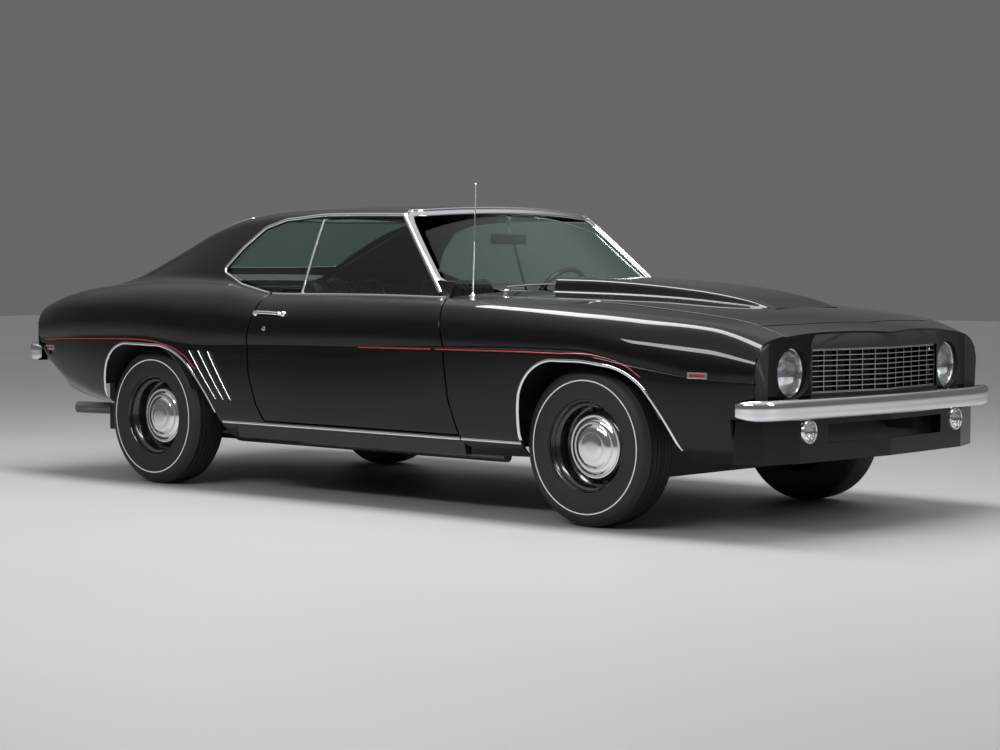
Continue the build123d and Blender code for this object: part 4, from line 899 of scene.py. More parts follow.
DOOR_STRIPE = [(.132, .706), (.583, .7100)]
FENDER_STRIPE = [(.612, .7103), (.654, .7105), (1.116, .714), (1.338, .713), (1.578, .699), (1.669, .671),
                 (1.734, .630)]
QUARTER_STRIPE = [(-2.200, .684), (-2.028, .692), (-1.743, .699), (-1.418, .706), (-1.223, .698),
                  (-1.103, .674), (-1.013, .633), (-.947, .573)]
DRIP = [(-.946, 1.052), (-.862, 1.150), (-.746, 1.243), (-.606, 1.281), (-.370, 1.299), (.160, 1.295)]
PILLAR = [(.160, 1.295), (.186, 1.272), (.520, .950)]
QUARTER_SILL = [(-.946, 1.050), (-.936, 1.030), (-.779, .975), (-.562, .938)]
QUARTER_CHANNEL = [(-.360, .945), (-.360, 1.284)]
ROCKER_LINE, ROCKER_ENDS, FENDER_ENDS = .331, (-.790, -.300, .300, .733), (.742, .900, 1.086)
rocker = [(x, body.row_at_height(x, ROCKER_LINE)) for x in ROCKER_ENDS]
fender_foot = [(x, body.row_at_height(x, ROCKER_LINE)) for x in FENDER_ENDS]
rear_arch = [p for p in REAR_ARCH if p[1] > .37]
belt = along_width(body, [(-.545, .792), (.000, .797), (.575, .800)])
# Name, skin, line, corner radius, width, height, finish, body it rides on, and how far it is let out.
STRIPS = (
    ("front_arch_lip", body, along_height(body, FRONT_ARCH[2:-2]), .02, .015, .0045, chrome, "body", -.0032),
    ("rear_arch_lip", body, along_height(body, rear_arch), .02, .015, .0045, chrome, "body", -.0032),
    ("rocker_moulding", body, rocker, .02, .014, .006, chrome, "body", 0),
    ("fender_moulding", body, fender_foot, .02, .014, .006, chrome, "body", 0),
    ("drip_moulding", shell, along_height(shell, DRIP), .02, .017, .007, chrome, "body", 0),
    ("pillar_moulding", shell, along_height(shell, PILLAR), .012, .020, .005, chrome, "body", 0),
    ("quarter_belt_moulding", shell, along_height(shell, QUARTER_SILL), .02, .013, .006, chrome, "body", 0),
    ("door_belt_moulding", body, belt, .02, .012, .006, chrome, "door_", 0),
    ("quarter_channel", shell, along_height(shell, QUARTER_CHANNEL), .02, .016, .004, chrome, "body", -.010),
    ("door_stripe", body, along_height(body, DOOR_STRIPE), .02, .0045, .0006, red_line, "door_", .0002),
    ("fender_stripe", body, along_height(body, FENDER_STRIPE), .02, .0045, .0006, red_line, "body", .0002),
    ("quarter_stripe", body, along_height(body, QUARTER_STRIPE), .02, .0045, .0006, red_line, "body", .0002),
)
for side, word in SIDES:
    for name, skin, line, soft, width, height, finish, rides, out in STRIPS:
        moulding(f"{name}_{word}", path_on(skin, line, side=side, soft=soft), width, height, finish,
                 "door_" + word if rides == "door_" else rides, out=out)
around = both_sides(shell, glass_hole)
moulding("back_glass_moulding", path_on(shell, around, closed=True), 0.018, 0.006, chrome, "body",
         closed=True)

# ================================================================== quarter gills
# Three slanted gills behind each door are pressed strips with a bright front edge; a flat matte black strip
# along each is painted shade for its recess.
GILL_TOPS, GILL_FEET = (-.985, -.922, -.859), (-.816, -.766, -.716)
GILL_HIGH, GILL_LOW = .660, .437
# Flat matte black as painted shade, laid in the gill recesses and over the wheel vent holes.
painted_shade_black = grained("painted_recess_shade", (0.004, 0.004, 0.004), 0.5, 60.0,
                     (0.003, 0.003, 0.003), (0.006, 0.006, 0.006))
for side, word in SIDES:
    for n, (top, low) in enumerate(zip(GILL_TOPS, GILL_FEET)):
        run = [(top + (low - top) * s, GILL_HIGH + (GILL_LOW - GILL_HIGH) * s) for s in np.linspace(0, 1, 8)]
        edge = along_height(shell, run)
        inner_line = along_height(shell, [(x + 0.013, z) for x, z in run])
        moulding(f"gill_edge_{word}_{n}", path_on(shell, edge, side=side), 0.006, 0.004, chrome, "body")
        moulding(f"gill_slot_shade_{word}_{n}", path_on(shell, inner_line, side=side), 0.018, 0.0012, painted_shade_black,
                 "body")

# ================================================================== tyres and steel wheels
# Bias-ply tyres with a ribbed tread and one thin pale ring sit on black steel wheels.
# The wheels are pressed discs welded into rolled rims, with polished steel caps snapped on.
AXLE_FRONT, AXLE_REAR, WHEEL_Y, AXLE_Z = 1.402, -1.344, 0.757, 0.330
rubber = grained("tyre_rubber", (0.010, 0.010, 0.010), 0.62, 60.0,
                 (0.008, 0.008, 0.008), (0.014, 0.014, 0.0145))
rubber.bump(rubber.grain(420.0), 0.12, 0.0006)
pale_ring = grained("pale_tyre_ring", (0.72, 0.72, 0.70), 0.55, 90.0, (0.66, 0.66, 0.64), (0.78, 0.78, 0.76))
wheel_black = grained("wheel_black_enamel", (0.006, 0.006, 0.006), 0.2, 30.0,
                      (0.005, 0.005, 0.005), (0.009, 0.009, 0.009), coat=0.8)


def turned(name, profile, centre, out, finish, rides, steps=96, closed=False):
    """A profile of (radius, distance along the axis) spun about an axis through `centre`."""
    axis = Vector(out).normalized()
    across = axis.orthogonal().normalized()
    mesh = bpy.data.meshes.new(name)
    places = [tuple(Vector(centre) + across * r + axis * a) for r, a in profile]
    edges = [(n, n + 1) for n in range(len(profile) - 1)] + ([(len(profile) - 1, 0)] if closed else [])
    mesh.from_pydata(places, edges, [])
    piece = bpy.data.objects.new(name, mesh)
    scene.collection.objects.link(piece)
    mesh.materials.append(finish.material)
    edit_whole(piece, (bpy.ops.mesh.spin, {"steps": steps, "angle": 2 * math.pi, "center": centre,
                                           "axis": tuple(axis)}))
    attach(piece, rides)
    put_right(piece, 32)
    return piece


TYRE_HALF = [(.192, .092), (.197, .099), (.210, .1015), (.235, .1028), (.262, .1028), (.283, .1015),
             (.300, .0965), (.310, .090), (.318, .080), (.324, .0735), (.3255, .072)]
TYRE_RING = [(.2715, .1015), (.2715, .1030), (.2725, .1034), (.2755, .1033), (.2765, .1028), (.2765, .1010)]
RIBS = (.0635, .038, .0125)
GROOVE, GROOVE_DEEP = .0035, .007


def tyre_profile():
    half = list(TYRE_HALF)
    for rib in RIBS:
        crown = .3298 - (rib / .072) ** 2 * .0035
        half += [(crown, rib), (crown, rib - .001), (crown - GROOVE_DEEP, rib - .0015),
                 (crown - GROOVE_DEEP, rib - .0015 - GROOVE), (crown, rib - .002 - GROOVE)]
    return half + [(r, -a) for r, a in reversed(half)]


RIM = [(.1915, -.074), (.1915, .0915), (.1965, .0935), (.197, .090), (.1945, .0865), (.189, .083),
       (.186, .074), (.184, .066), (.178, .060), (.170, .055), (.168, .044), (.1665, .006), (.158, .002),
       (.150, .006), (.139, .020), (.128, .0265), (.060, .027), (.020, .027), (.0005, .027)]
CAP = [(.1335, .022), (.134, .027), (.131, .0315), (.126, .0325), (.121, .031), (.1185, .0315), (.113, .036),
       (.104, .0405), (.098, .0415), (.094, .0405), (.091, .0412), (.086, .046), (.074, .0505),
       (.058, .0535), (.054, .0528), (.051, .0540), (.036, .0560), (.018, .0566), (.0005, .0567)]
VENTS, VENT_RADIUS, VENT_REACH, VENT_DEPTH = 12, .0085, .1495, .0085
for name, axle, side in (("front_left", AXLE_FRONT, 1), ("front_right", AXLE_FRONT, -1),
                         ("rear_left", AXLE_REAR, 1), ("rear_right", AXLE_REAR, -1)):
    hub, out, rides = (axle, side * WHEEL_Y, AXLE_Z), (0, side, 0), "wheel_" + name
    tyre = turned("tyre_cover_" + name, tyre_profile(), hub, out, rubber, rides, 120, closed=True)
    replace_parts(tyre, "tyre_" + name)
    turned("tyre_ring_" + name, TYRE_RING, hub, out, pale_ring, rides, 120)
    rim = turned("steel_wheel_" + name, RIM, hub, out, wheel_black, rides)
    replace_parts(rim, "wheel_" + name)
    turned("wheel_cap_" + name, CAP, hub, out, chrome, rides)
    # The vent holes are not cut through: each is a flat matte black oval on the disc, painted shade for the
    # hole.
    for n in range(VENTS):
        turn = math.radians(360 / VENTS * n + 15)
        spot = Vector((axle + VENT_REACH * math.cos(turn), side * (WHEEL_Y + VENT_DEPTH),
                       AXLE_Z + VENT_REACH * math.sin(turn)))
        bpy.ops.mesh.primitive_cylinder_add(vertices=20, radius=VENT_RADIUS, depth=.004, location=spot,
                                            rotation=(math.pi / 2, math.pi / 2 - turn, 0))
        vent = bpy.context.object
        vent.scale = (1.5, 1.0, 1.0)
        bpy.ops.object.transform_apply(location=True, rotation=True, scale=True)
        vent.name = f"wheel_vent_shade_{name}_{n}"
        vent.data.materials.append(painted_shade_black.material)
        edit_whole(vent, (bpy.ops.mesh.bevel, {"offset": 0.001, "segments": 2, "affect": "EDGES"}))
        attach(vent, rides)

# ================================================================== lamps
# Sealed-beam headlamps stand in bright rings, parking lamps are let into the valance.
# Their glass is pressed with fine flutes over a silvered bowl.
lens_glass = Finish("fluted_lens", (0.93, 0.95, 0.96), 0.05, Transmission_Weight=1.0, IOR=1.45)
flutes = lens_glass.node("TexWave", {"bands_direction": "Y"}, output=1, Vector=lens_glass.place, Scale=60.0)
lens_glass.bump(flutes, 0.5, 0.002)
lens_glass.vary("Roughness", lens_glass.grain(40.0), 0.03, 0.08)
silver = Finish("silvered_bowl", (0.86, 0.87, 0.88), 0.16, metal=1.0)
silver.vary("Roughness", silver.grain(50.0), 0.12, 0.22)
flutes = silver.node("TexWave", {"bands_direction": "Y"}, output=1, Vector=silver.place, Scale=36.0)
silver.bump(flutes, 0.35, 0.003)
# Each lamp's parts as profiles of (radius, distance forward), with their steps round the axis.
HEADLAMP = (
    ("ring", chrome, 72, [(.0995, -.030), (.0995, -.003), (.0985, .0005), (.096, .002), (.093, .001),
                          (.0905, -.003), (.0885, -.010), (.0885, -.030)]),
    ("bowl", silver, 72, [(.0885, -.006), (.086, -.012), (.070, -.034), (.045, -.050), (.020, -.058),
                          (.0005, -.060)]),
    ("bulb", chrome, 32, [(.0145, -.062), (.0145, -.036), (.012, -.028), (.006, -.024), (.0005, -.023)]),
    ("lens", lens_glass, 72, [(.0884, -.009), (.0865, -.004), (.080, .0005), (.060, .0045), (.035, .0068),
                              (.0005, .0078), (.0005, .0045), (.035, .0035), (.060, .0012), (.080, -.003),
                              (.0865, -.009)]),
)
PARKING_LAMP = (
    ("ring", chrome, 56, [(.0478, -.060), (.0478, -.002), (.0465, .0005), (.0435, .0015), (.0415, -.001),
                          (.0405, -.006), (.0405, -.060)]),
    ("bowl", silver, 56, [(.0405, -.006), (.037, -.016), (.022, -.028), (.0005, -.031)]),
    ("lens", lens_glass, 56, [(.0404, -.006), (.038, -.001), (.028, .0035), (.012, .0055), (.0005, .0058),
                              (.0005, .0030), (.012, .0028), (.028, .001), (.038, -.006)]),
)
for side, word in SIDES:
    for lamp, node, spot, parts in (("headlamp", "headlamps", (2.206, side * LAMP_Y, LAMP_Z), HEADLAMP),
                                    ("parking", "parking_lamps", (2.297, side * .545, .423), PARKING_LAMP)):
        for part, finish, steps, profile in parts:
            made = turned(f"{lamp}_{part}_{word}", profile, spot, (1, 0, 0), finish, "body", steps,
                          closed=part == "ring")
            if part == "ring" and side > 0:
                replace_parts(made, node)


def softened_box(name, centre, size, finish, rides, bevel=0.002, segments=2, turn=0.0):
    """A box with softened edges, turned about the upright axis."""
    clear_selection()
    bpy.ops.mesh.primitive_cube_add(size=1, location=centre, scale=size, rotation=(0, 0, turn))
    piece = bpy.context.object
    bpy.ops.object.transform_apply(location=True, rotation=True, scale=True)
    piece.name = name
    piece.data.materials.append(finish.material)
    edit_whole(piece, (bpy.ops.mesh.bevel, {"offset": bevel, "segments": segments, "affect": "EDGES"}))
    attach(piece, rides)
    return piece


def block_piece(name, low, high, finish, rides, bevel=0.002, segments=2):
    """A softened box between two corners, with its bevels shaded smooth."""
    centre = [(a + b) / 2 for a, b in zip(low, high)]
    piece = softened_box(name, centre, [b - a for a, b in zip(low, high)], finish, rides, bevel, segments)
    smooth_up_to(piece, 40)
    return piece


lamp_red = grained("lamp_red", (0.30, 0.008, 0.008), 0.12, 40.0,
                   (0.24, 0.006, 0.006), (0.36, 0.012, 0.010), coat=0.6)
ribs = lamp_red.node("TexWave", {"bands_direction": "Z"}, output=1, Vector=lamp_red.place, Scale=40.0)
lamp_red.bump(ribs, 0.4, 0.001)
MARKER_Z, TAIL_LENS, TAIL_FRAME = .644, (.0405, .6435, .7165), (.044, .640, .720)
MARKER_PARTS = (("frame", (.088, .0100, .0245), chrome), ("lens", (.070, .0132, .0125), lamp_red))
first_tail = None
for side, word in SIDES:
    for n, y in enumerate((.464, .560, .656)):
        half, foot, top = TAIL_LENS
        lens = block_piece(f"tail_lens_{word}_{n}", (-2.304, side * y - half, foot),
                           (-2.2915, side * y + half, top), lamp_red, "body", .004, 3)
        half, foot, top = TAIL_FRAME
        block_piece(f"tail_frame_{word}_{n}", (-2.2975, side * y - half, foot),
                    (TAIL_FACE_X, side * y + half, top), chrome, "body", .0015)
        first_tail = first_tail or lens
    for end, low, high in (("front", 1.946, 2.034), ("rear", -2.182, -2.090)):
        row = body.row_at_height((low + high) / 2, MARKER_Z)
        place, _ = body.at([low, high], [row, row])
        run, middle = place[1] - place[0], (place[0] + place[1]) / 2
        turn = math.atan2(run[1], run[0]) * side
        for part, size, finish in MARKER_PARTS:
            marker = softened_box(f"{end}_marker_{part}_{word}", (middle[0], middle[1] * side, MARKER_Z),
                                  size, finish, "body", .0015, turn=turn)
            if end == "front" and part == "frame" and side > 0:
                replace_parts(marker, "side_markers")
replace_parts(first_tail, "tail_lamps")

# ================================================================== grille
# A moulded black egg-crate with silvered front edges, pointed in plan.
CRATE_SLOPE, CRATE_EDGE_X = 0.13862, 2.2978
crate = Finish("grille_crate", (0.01, 0.01, 0.01), 0.35)
axes = crate.node("SeparateXYZ", Vector=crate.place)
across_car = crate.node("SeparateXYZ", output=1, Vector=crate.place)
reach = axes + crate.node("Math", {"operation": "ABSOLUTE"}, Value=across_car) * CRATE_SLOPE
front_edge = reach > CRATE_EDGE_X
tint(crate, front_edge, (0.008, 0.008, 0.008), (0.62, 0.62, 0.63))
crate.vary("Metallic", front_edge, 0.0, 0.9)

# ================================================================== bumpers
# Each bumper is one pressed steel blade, polished and chromed, bolted through two irons.
# Its face is rolled at the top and bottom, and its ends wrap round the corners.
def smooth_plan(points, count):
    """A flowing line through plan points, evenly spaced."""
    points = np.array(points, float)
    ends = np.concatenate([[2 * points[0] - points[1]], points, [2 * points[-1] - points[-2]]])
    fine = []
    for n in range(1, len(ends) - 2):
        a, b, c, d = ends[n - 1:n + 3]
        for s in np.linspace(0, 1, 24, endpoint=False):
            fine.append(0.5 * ((2 * b) + (c - a) * s + (2 * a - 5 * b + 4 * c - d) * s * s
                               + (3 * b - a - 3 * c + d) * s ** 3))
    fine = np.array(fine + [points[-1]])
    length = np.concatenate([[0], np.cumsum(np.linalg.norm(np.diff(fine, axis=0), axis=1))])
    stops = np.linspace(0, length[-1], count)
    return np.stack([np.interp(stops, length, fine[:, 0]), np.interp(stops, length, fine[:, 1])], axis=1)


BLADE_FACE = [(1.00, .030), (.995, .018), (.97, .010), (.90, .0045), (.78, .0015), (.66, .0), (.55, .0005),
              (.46, .002), (.36, .003), (.26, .0035), (.14, .006), (.06, .011), (.015, .018), (.0, .028)]
TIP_SECTIONS, TIP_SHARE, TIP_TUCK = 9, 0.55, 0.016


def blade(name, plan, low, high, depth):
    """A bumper's face swept along its plan, closing down at the tips."""
    line = smooth_plan(plan, 150)
    ahead = np.gradient(line, axis=0)
    ahead /= np.linalg.norm(ahead, axis=1, keepdims=True)
    inward = np.stack([-ahead[:, 1], ahead[:, 0]], axis=1)
    if np.dot(inward[75], -line[75] / np.linalg.norm(line[75])) < 0:
        inward = -inward
    tall, middle = high - low, (low + high) / 2
    shape = [(low + tall * u, v) for u, v in BLADE_FACE]
    shape += [(low + tall * .03, depth), (low + tall * .97, depth)]
    size, count = len(shape), len(line)
    vertices = []
    for n, (spot, way) in enumerate(zip(line, inward)):
        from_tip = min(n, count - 1 - n)
        closing = math.sin(min(1.0, from_tip / TIP_SECTIONS) * math.pi / 2) ** 0.6
        shut = TIP_SHARE + (1 - TIP_SHARE) * closing
        for z, into in shape:
            place = spot + way * (into if closing == 1.0 else into * closing + (1 - closing) * TIP_TUCK)
            vertices.append((place[0], place[1], middle + (z - middle) * shut))
    piece = new_piece(name, vertices, tube_faces(count, size), chrome, "body")
    put_right(piece, 50)
    return piece


def both_ends(half_plan):
    """A plan from one tip to the middle, and on to the other tip."""
    return half_plan + [(x, -y) for x, y in reversed(half_plan[:-1])]


FRONT_BLADE = both_ends([(2.168, -.883), (2.215, -.880), (2.262, -.860), (2.303, -.792), (2.326, -.660),
                         (2.340, -.480), (2.353, -.250), (2.361, 0)])
REAR_BLADE = both_ends([(-2.196, -.896), (-2.262, -.889), (-2.305, -.868), (-2.340, -.800), (-2.355, -.680),
                        (-2.361, -.400), (-2.361, 0)])
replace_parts(blade("front_bumper_blade", FRONT_BLADE, .472, .556, .030), "front_bumper")
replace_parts(blade("rear_bumper_blade", REAR_BLADE, .578, .664, .028), "rear_bumper")
for side, word in SIDES:
    block_piece("front_bumper_iron_" + word, (2.062, side * .410 - .020, .494),
                (2.330, side * .410 + .020, .534), frame_paint, "body")
    block_piece("rear_bumper_iron_" + word, (-2.340, side * .400 - .020, .602),
                (-2.2925, side * .400 + .020, .638), frame_paint, "body")
# A thin dark sheet hangs across the rail ends below the irons as painted shade, so the valance slot looks
# into the dark.
block_piece("valance_slot_shade_sheet", (2.0605, -.720, .300), (2.0685, .720, .490), frame_paint, "body")

# ================================================================== glass
# Toughened glass with the usual green tint, and clear enough to show the seats.
glass = Finish("tinted_glass", (0.60, 0.74, 0.68), 0.01, Transmission_Weight=1.0, IOR=1.30)
glass.vary("Roughness", glass.grain(8.0), 0.004, 0.012)


def dress(names, finish):
    """Gives solids that show as they are their finish."""
    for name in names:
        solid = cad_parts[name].data
        solid.materials.clear()
        solid.materials.append(finish.material)


dress(("windshield", "back_glass", "quarter_glass", "door_glass_left", "door_glass_right"), glass)

# ================================================================== underbody and engine
# The floor, frame and running gear are steel and iron parts, painted, cast or left bare.
bare_steel = grained("bare_steel", (0.20, 0.20, 0.20), 0.42, 25.0,
                     (0.13, 0.12, 0.11), (0.26, 0.26, 0.26), metal=1.0)
bare_steel.vary("Roughness", bare_steel.grain(12.0), 0.35, 0.55)
cast_iron = grained("cast_iron", (0.05, 0.048, 0.045), 0.75, 80.0,
                    (0.035, 0.033, 0.031), (0.075, 0.068, 0.06), metal=0.6)
cast_iron.bump(cast_iron.grain(350.0), 0.35, 0.001)
engine_red = grained("engine_orange", (0.50, 0.10, 0.025), 0.4, 20.0,
                     (0.42, 0.075, 0.02), (0.56, 0.13, 0.03), coat=0.3)
core_metal = grained("radiator_core", (0.02, 0.02, 0.02), 0.5, 50.0,
                     (0.012, 0.012, 0.012), (0.03, 0.03, 0.03))
fins = core_metal.node("TexWave", {"bands_direction": "Y"}, output=1, Vector=core_metal.place, Scale=120.0)
core_metal.bump(fins, 0.8, 0.002)
vinyl = grained("black_vinyl", (0.012, 0.012, 0.0125), 0.42, 6.0,
                (0.010, 0.010, 0.0105), (0.017, 0.017, 0.0175))
pores = vinyl.node("TexVoronoi", Vector=vinyl.place, Scale=520.0)
vinyl.bump(pores, 0.25, 0.0007)
switch_black = grained("moulded_black", (0.015, 0.015, 0.015), 0.3, 15.0,
                       (0.012, 0.012, 0.012), (0.02, 0.02, 0.02), coat=0.2)
dress(("inner_structure", "floor_pan", "front_subframe"), frame_paint)
dress(("front_valance",), paint)
dress(("fuel_tank", "exhaust", "driveshaft"), bare_steel)
dress(("rear_axle", "knuckle_left", "knuckle_right"), cast_iron)
dress(("engine",), engine_red)
dress(("radiator",), core_metal)
dress(("dashboard",), vinyl)
dress(("steering_wheel",), switch_black)

# ================================================================== door handles and locks
# A chromed push-button handle and a round lock sit on each door below the window.
HANDLE_LINE = [(-.545, .845), (-.450, .8435), (-.362, .840)]
HANDLE_LOW, HANDLE_HIGH, FOOT_LINE = 0.004, 0.0135, .8435
HANDLE_FOOT = [(.0145, -.002), (.0145, .004), (.011, .010), (.008, .0135), (.0005, .0140)]
LOCK_PLACE = (-.474, .776)
LOCK = [(.0105, -.002), (.0105, .002), (.009, .0035), (.0045, .0038), (.004, .003), (.0005, .003)]


def on_door(x, z, side):
    """A place on the door's skin and the way out from it."""
    spot, out = body.at([x], [body.row_at_height(x, z)])
    flip = np.array([1, side, 1])
    return tuple(spot[0] * flip), tuple(out[0] * flip)


for side, word in SIDES:
    place, normal = path_on(body, along_height(body, HANDLE_LINE), gap=0.006, side=side, soft=0)
    last = len(place) - 1
    lift = np.interp(np.arange(last + 1), [0, 3, last - 3, last],
                     [HANDLE_LOW, HANDLE_HIGH, HANDLE_HIGH, HANDLE_LOW])
    moulding("door_handle_" + word, (place + normal * lift[:, None], normal), 0.017, 0.007, chrome,
             "door_" + word)
    for n, x in enumerate((HANDLE_LINE[0][0], HANDLE_LINE[-1][0])):
        spot, out = on_door(x, FOOT_LINE, side)
        turned(f"handle_foot_{word}_{n}", HANDLE_FOOT, spot, out, chrome, "door_" + word, 28)
    spot, out = on_door(*LOCK_PLACE, side)
    turned("door_lock_" + word, LOCK, spot, out, chrome, "door_" + word, 28)

# ================================================================== windshield surround and wipers
# A wide bright moulding frames the windshield; two arms carry rubber blades along its foot.
def on_screen(points, out=0.0):
    """Places on the face of the screen from (y, distance up the slope), with the normals there."""
    base, rise, face_out = (np.array(v) for v in (SCREEN_BASE, SCREEN_RISE, SCREEN_OUT))
    places, normals = [], []
    for y, up_slope in points:
        depth = math.sqrt(SCREEN_RADIUS ** 2 - y * y)
        normal = (np.array([0, y, 0]) + face_out * depth) / SCREEN_RADIUS
        places.append(base + rise * up_slope + [0, y, 0] - face_out * (SCREEN_RADIUS - depth) + normal * out)
        normals.append(normal)
    return np.array(places), np.array(normals)


SCREEN_FOOT = (.742, .165)
edge_places, _ = shell.at([x for x, _ in header], [row for _, row in header])
up_slope = (edge_places - np.array(SCREEN_BASE)) @ np.array(SCREEN_RISE)
half_edge = [(place[1], float(rise)) for place, rise in zip(edge_places, up_slope)]
half_edge.append(SCREEN_FOOT)
screen_edge = half_edge[::-1] + [(-y, s) for y, s in half_edge[1:]]
line = spaced(screen_edge, 0.012, closed=False)
ahead = np.gradient(line, axis=0)
ahead /= np.linalg.norm(ahead, axis=1, keepdims=True)
inward = np.stack([-ahead[:, 1], ahead[:, 0]], axis=1)
moulding("screen_band", on_screen(line + inward * 0.019, -0.004), 0.040, 0.006, chrome, "body")
moulding("screen_band_lip", on_screen(line + inward * 0.004, -0.001), 0.012, 0.008, chrome, "body")

rubber_black = grained("wiper_rubber", (0.008, 0.008, 0.008), 0.6, 80.0,
                       (0.006, 0.006, 0.006), (0.012, 0.012, 0.012))
PIVOT, TIP, ARM_Z, ARM_ARCH, PIVOT_Z = (.694, .545), (.706, .100), .962, .022, .958
WIPER_PIVOT = [(.013, -.016), (.013, .004), (.010, .009), (.0005, .011)]
BLADE_START = 7
for side, word in SIDES:
    arm = [(PIVOT[0] + (TIP[0] - PIVOT[0]) * s, side * (PIVOT[1] + (TIP[1] - PIVOT[1]) * s),
            ARM_Z + ARM_ARCH * math.sin(math.pi * (.2 + .5 * s))) for s in np.linspace(0, 1, 26)]
    up_there = np.tile(np.array([0.25, 0, 0.968]), (len(arm), 1))
    made = moulding("wiper_arm_" + word, (np.array(arm), up_there), 0.010, 0.005, chrome, "body")
    if side > 0:
        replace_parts(made, "wipers")
    edge = np.array([(x - 0.006, y, z + 0.002) for x, y, z in arm[BLADE_START:]])
    moulding("wiper_blade_" + word, (edge, up_there[BLADE_START:]), 0.006, 0.004, rubber_black, "body")
    turned("wiper_pivot_" + word, WIPER_PIVOT, (PIVOT[0], side * PIVOT[1], PIVOT_Z), (0.2, 0, 1), chrome,
           "body", 28)

# ================================================================== cabin mirror
# The mirror hangs on a short stalk from the windshield header; its shell is moulded, its face glass.
mirror_back = grained("mirror_housing", (0.10, 0.10, 0.105), 0.25, 20.0,
                      (0.08, 0.08, 0.085), (0.13, 0.13, 0.135), metal=0.8)
housing = block_piece("cabin_mirror_housing", (.206, -.120, 1.165), (.222, .120, 1.212), mirror_back,
                      "body", .007, 4)
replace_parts(housing, "cabin_mirror")
block_piece("cabin_mirror_stalk", (.211, -.008, 1.205), (.227, .008, 1.304), chrome, "body", .003)
block_piece("cabin_mirror_glass", (.2045, -.112, 1.172), (.207, .112, 1.206), silver, "body", .001)

# ================================================================== outside mirror and antenna
# A small oval mirror on the driver's door, and a whip antenna on the other front fender.
MIRROR_HEAD, MIRROR_SIZE, MIRROR_FACE_X = (.464, .903, .956), (.022, .031, .030), .452
MIRROR_STALK = [(.0005, -.004), (.016, -.004), (.013, .006), (.009, .016), (.008, .040), (.0005, .041)]
clear_selection()
bpy.ops.mesh.primitive_uv_sphere_add(segments=40, ring_count=24, radius=1, location=MIRROR_HEAD,
                                     scale=MIRROR_SIZE)
head = bpy.context.object
bpy.ops.object.transform_apply(location=True, rotation=True, scale=True)
edit_whole(head, (bpy.ops.mesh.bisect, {"plane_co": (MIRROR_FACE_X, 0, 0), "plane_no": (-1, 0, 0),
                                        "use_fill": True, "clear_outer": True}))
head.name = "door_mirror_head"
head.data.materials.append(chrome.material)
smooth_up_to(head, 35)
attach(head, "door_left")
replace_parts(head, "door_mirror")
turned("door_mirror_stalk", MIRROR_STALK, (.466, .866, .916), (0, .5, .866), chrome, "door_left", 32)
MAST = [(.0148, -.002), (.014, -.001), (.0145, .006), (.010, .013), (.0055, .017), (.0032, .022),
        (.0030, .200), (.0026, .201), (.0024, .480), (.0034, .482), (.0034, .486), (.0005, .4885)]
antenna_piece = turned("antenna_mast", MAST, (.7005, -.770, .9325), (.0165, 0, .488), chrome, "body", 28)
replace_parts(antenna_piece, "antenna")

# ================================================================== grille bars
# Nine thin rails and thirteen uprights cross in front of the black egg-crate.
bright_line = grained("grille_bright_edge", (0.50, 0.50, 0.51), 0.22, 20.0,
                      (0.45, 0.45, 0.46), (0.55, 0.55, 0.56), metal=0.9)
GRILLE_SIDE_X, GRILLE_HALF, GRILLE_NOSE_X = 2.2362, .4612, 2.2998
GRILLE_LOW, GRILLE_HIGH = .5705, .7395
RAILS, UPRIGHTS_EACH_SIDE = 9, 6
GRILLE_SLOPE = (GRILLE_NOSE_X - GRILLE_SIDE_X) / GRILLE_HALF
vertices, faces = [], []


def strip(corners, deep):
    """One flat bar between four (y, z) corners, its front edge on the grille's V."""
    start = len(vertices)
    for y, z in corners:
        x = GRILLE_NOSE_X - abs(y) * GRILLE_SLOPE
        vertices.extend([(x, y, z), (x - deep, y, z)])
    for a, b in ((0, 1), (1, 2), (2, 3), (3, 0)):
        faces.append((start + 2 * a, start + 2 * b, start + 2 * b + 1, start + 2 * a + 1))
    faces.append((start, start + 2, start + 4, start + 6)[::-1])
    faces.append((start + 1, start + 3, start + 5, start + 7))


for n in range(RAILS):
    z = GRILLE_LOW + 0.002 + (GRILLE_HIGH - GRILLE_LOW - 0.004) * n / (RAILS - 1)
    for side, _ in SIDES:
        end = side * GRILLE_HALF
        strip([(0, z - .0016), (end, z - .0016), (end, z + .0016), (0, z + .0016)], .026)
for n in range(-UPRIGHTS_EACH_SIDE, UPRIGHTS_EACH_SIDE + 1):
    y = n * (GRILLE_HALF - 0.002) / UPRIGHTS_EACH_SIDE
    strip([(y - .0014, GRILLE_LOW), (y + .0014, GRILLE_LOW), (y + .0014, GRILLE_HIGH),
           (y - .0014, GRILLE_HIGH)], .022)
bars = new_piece("grille_crate", vertices, faces, crate, "body", smooth=False)
put_right(bars, 20)
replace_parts(bars, "grille")
for name, z in (("low", .5672), ("high", .7428)):
    run = [(GRILLE_SIDE_X + .001 + (GRILLE_NOSE_X - GRILLE_SIDE_X) * (1 - abs(y) / .462), y, z)
           for y in np.linspace(-.461, .461, 81)]
    ahead = np.tile(np.array([1.0, 0, 0]), (81, 1))
    moulding("grille_rail_" + name, (np.array(run), ahead), 0.005, 0.003, bright_line, "body")

# ================================================================== seats
# Bucket seats and a bench of foam under black vinyl, with sewn pleats down their middles.
# Each pad is blown up as cloth, so it bulges between its seams.
VOXEL, BENCH_VOXEL = 0.010, 0.012
PRESSURE, FRAMES, SWELL = 4.0, 20, 0.016
SEAM_DEEP, SEAM_WIDE, PLEATED_SHARE, PLEAT_SPAN = 0.0055, 0.006, 0.74, 1.36


def mesh_places(mesh):
    places = np.empty(len(mesh.vertices) * 3)
    mesh.vertices.foreach_get("co", places)
    return places.reshape(-1, 3)


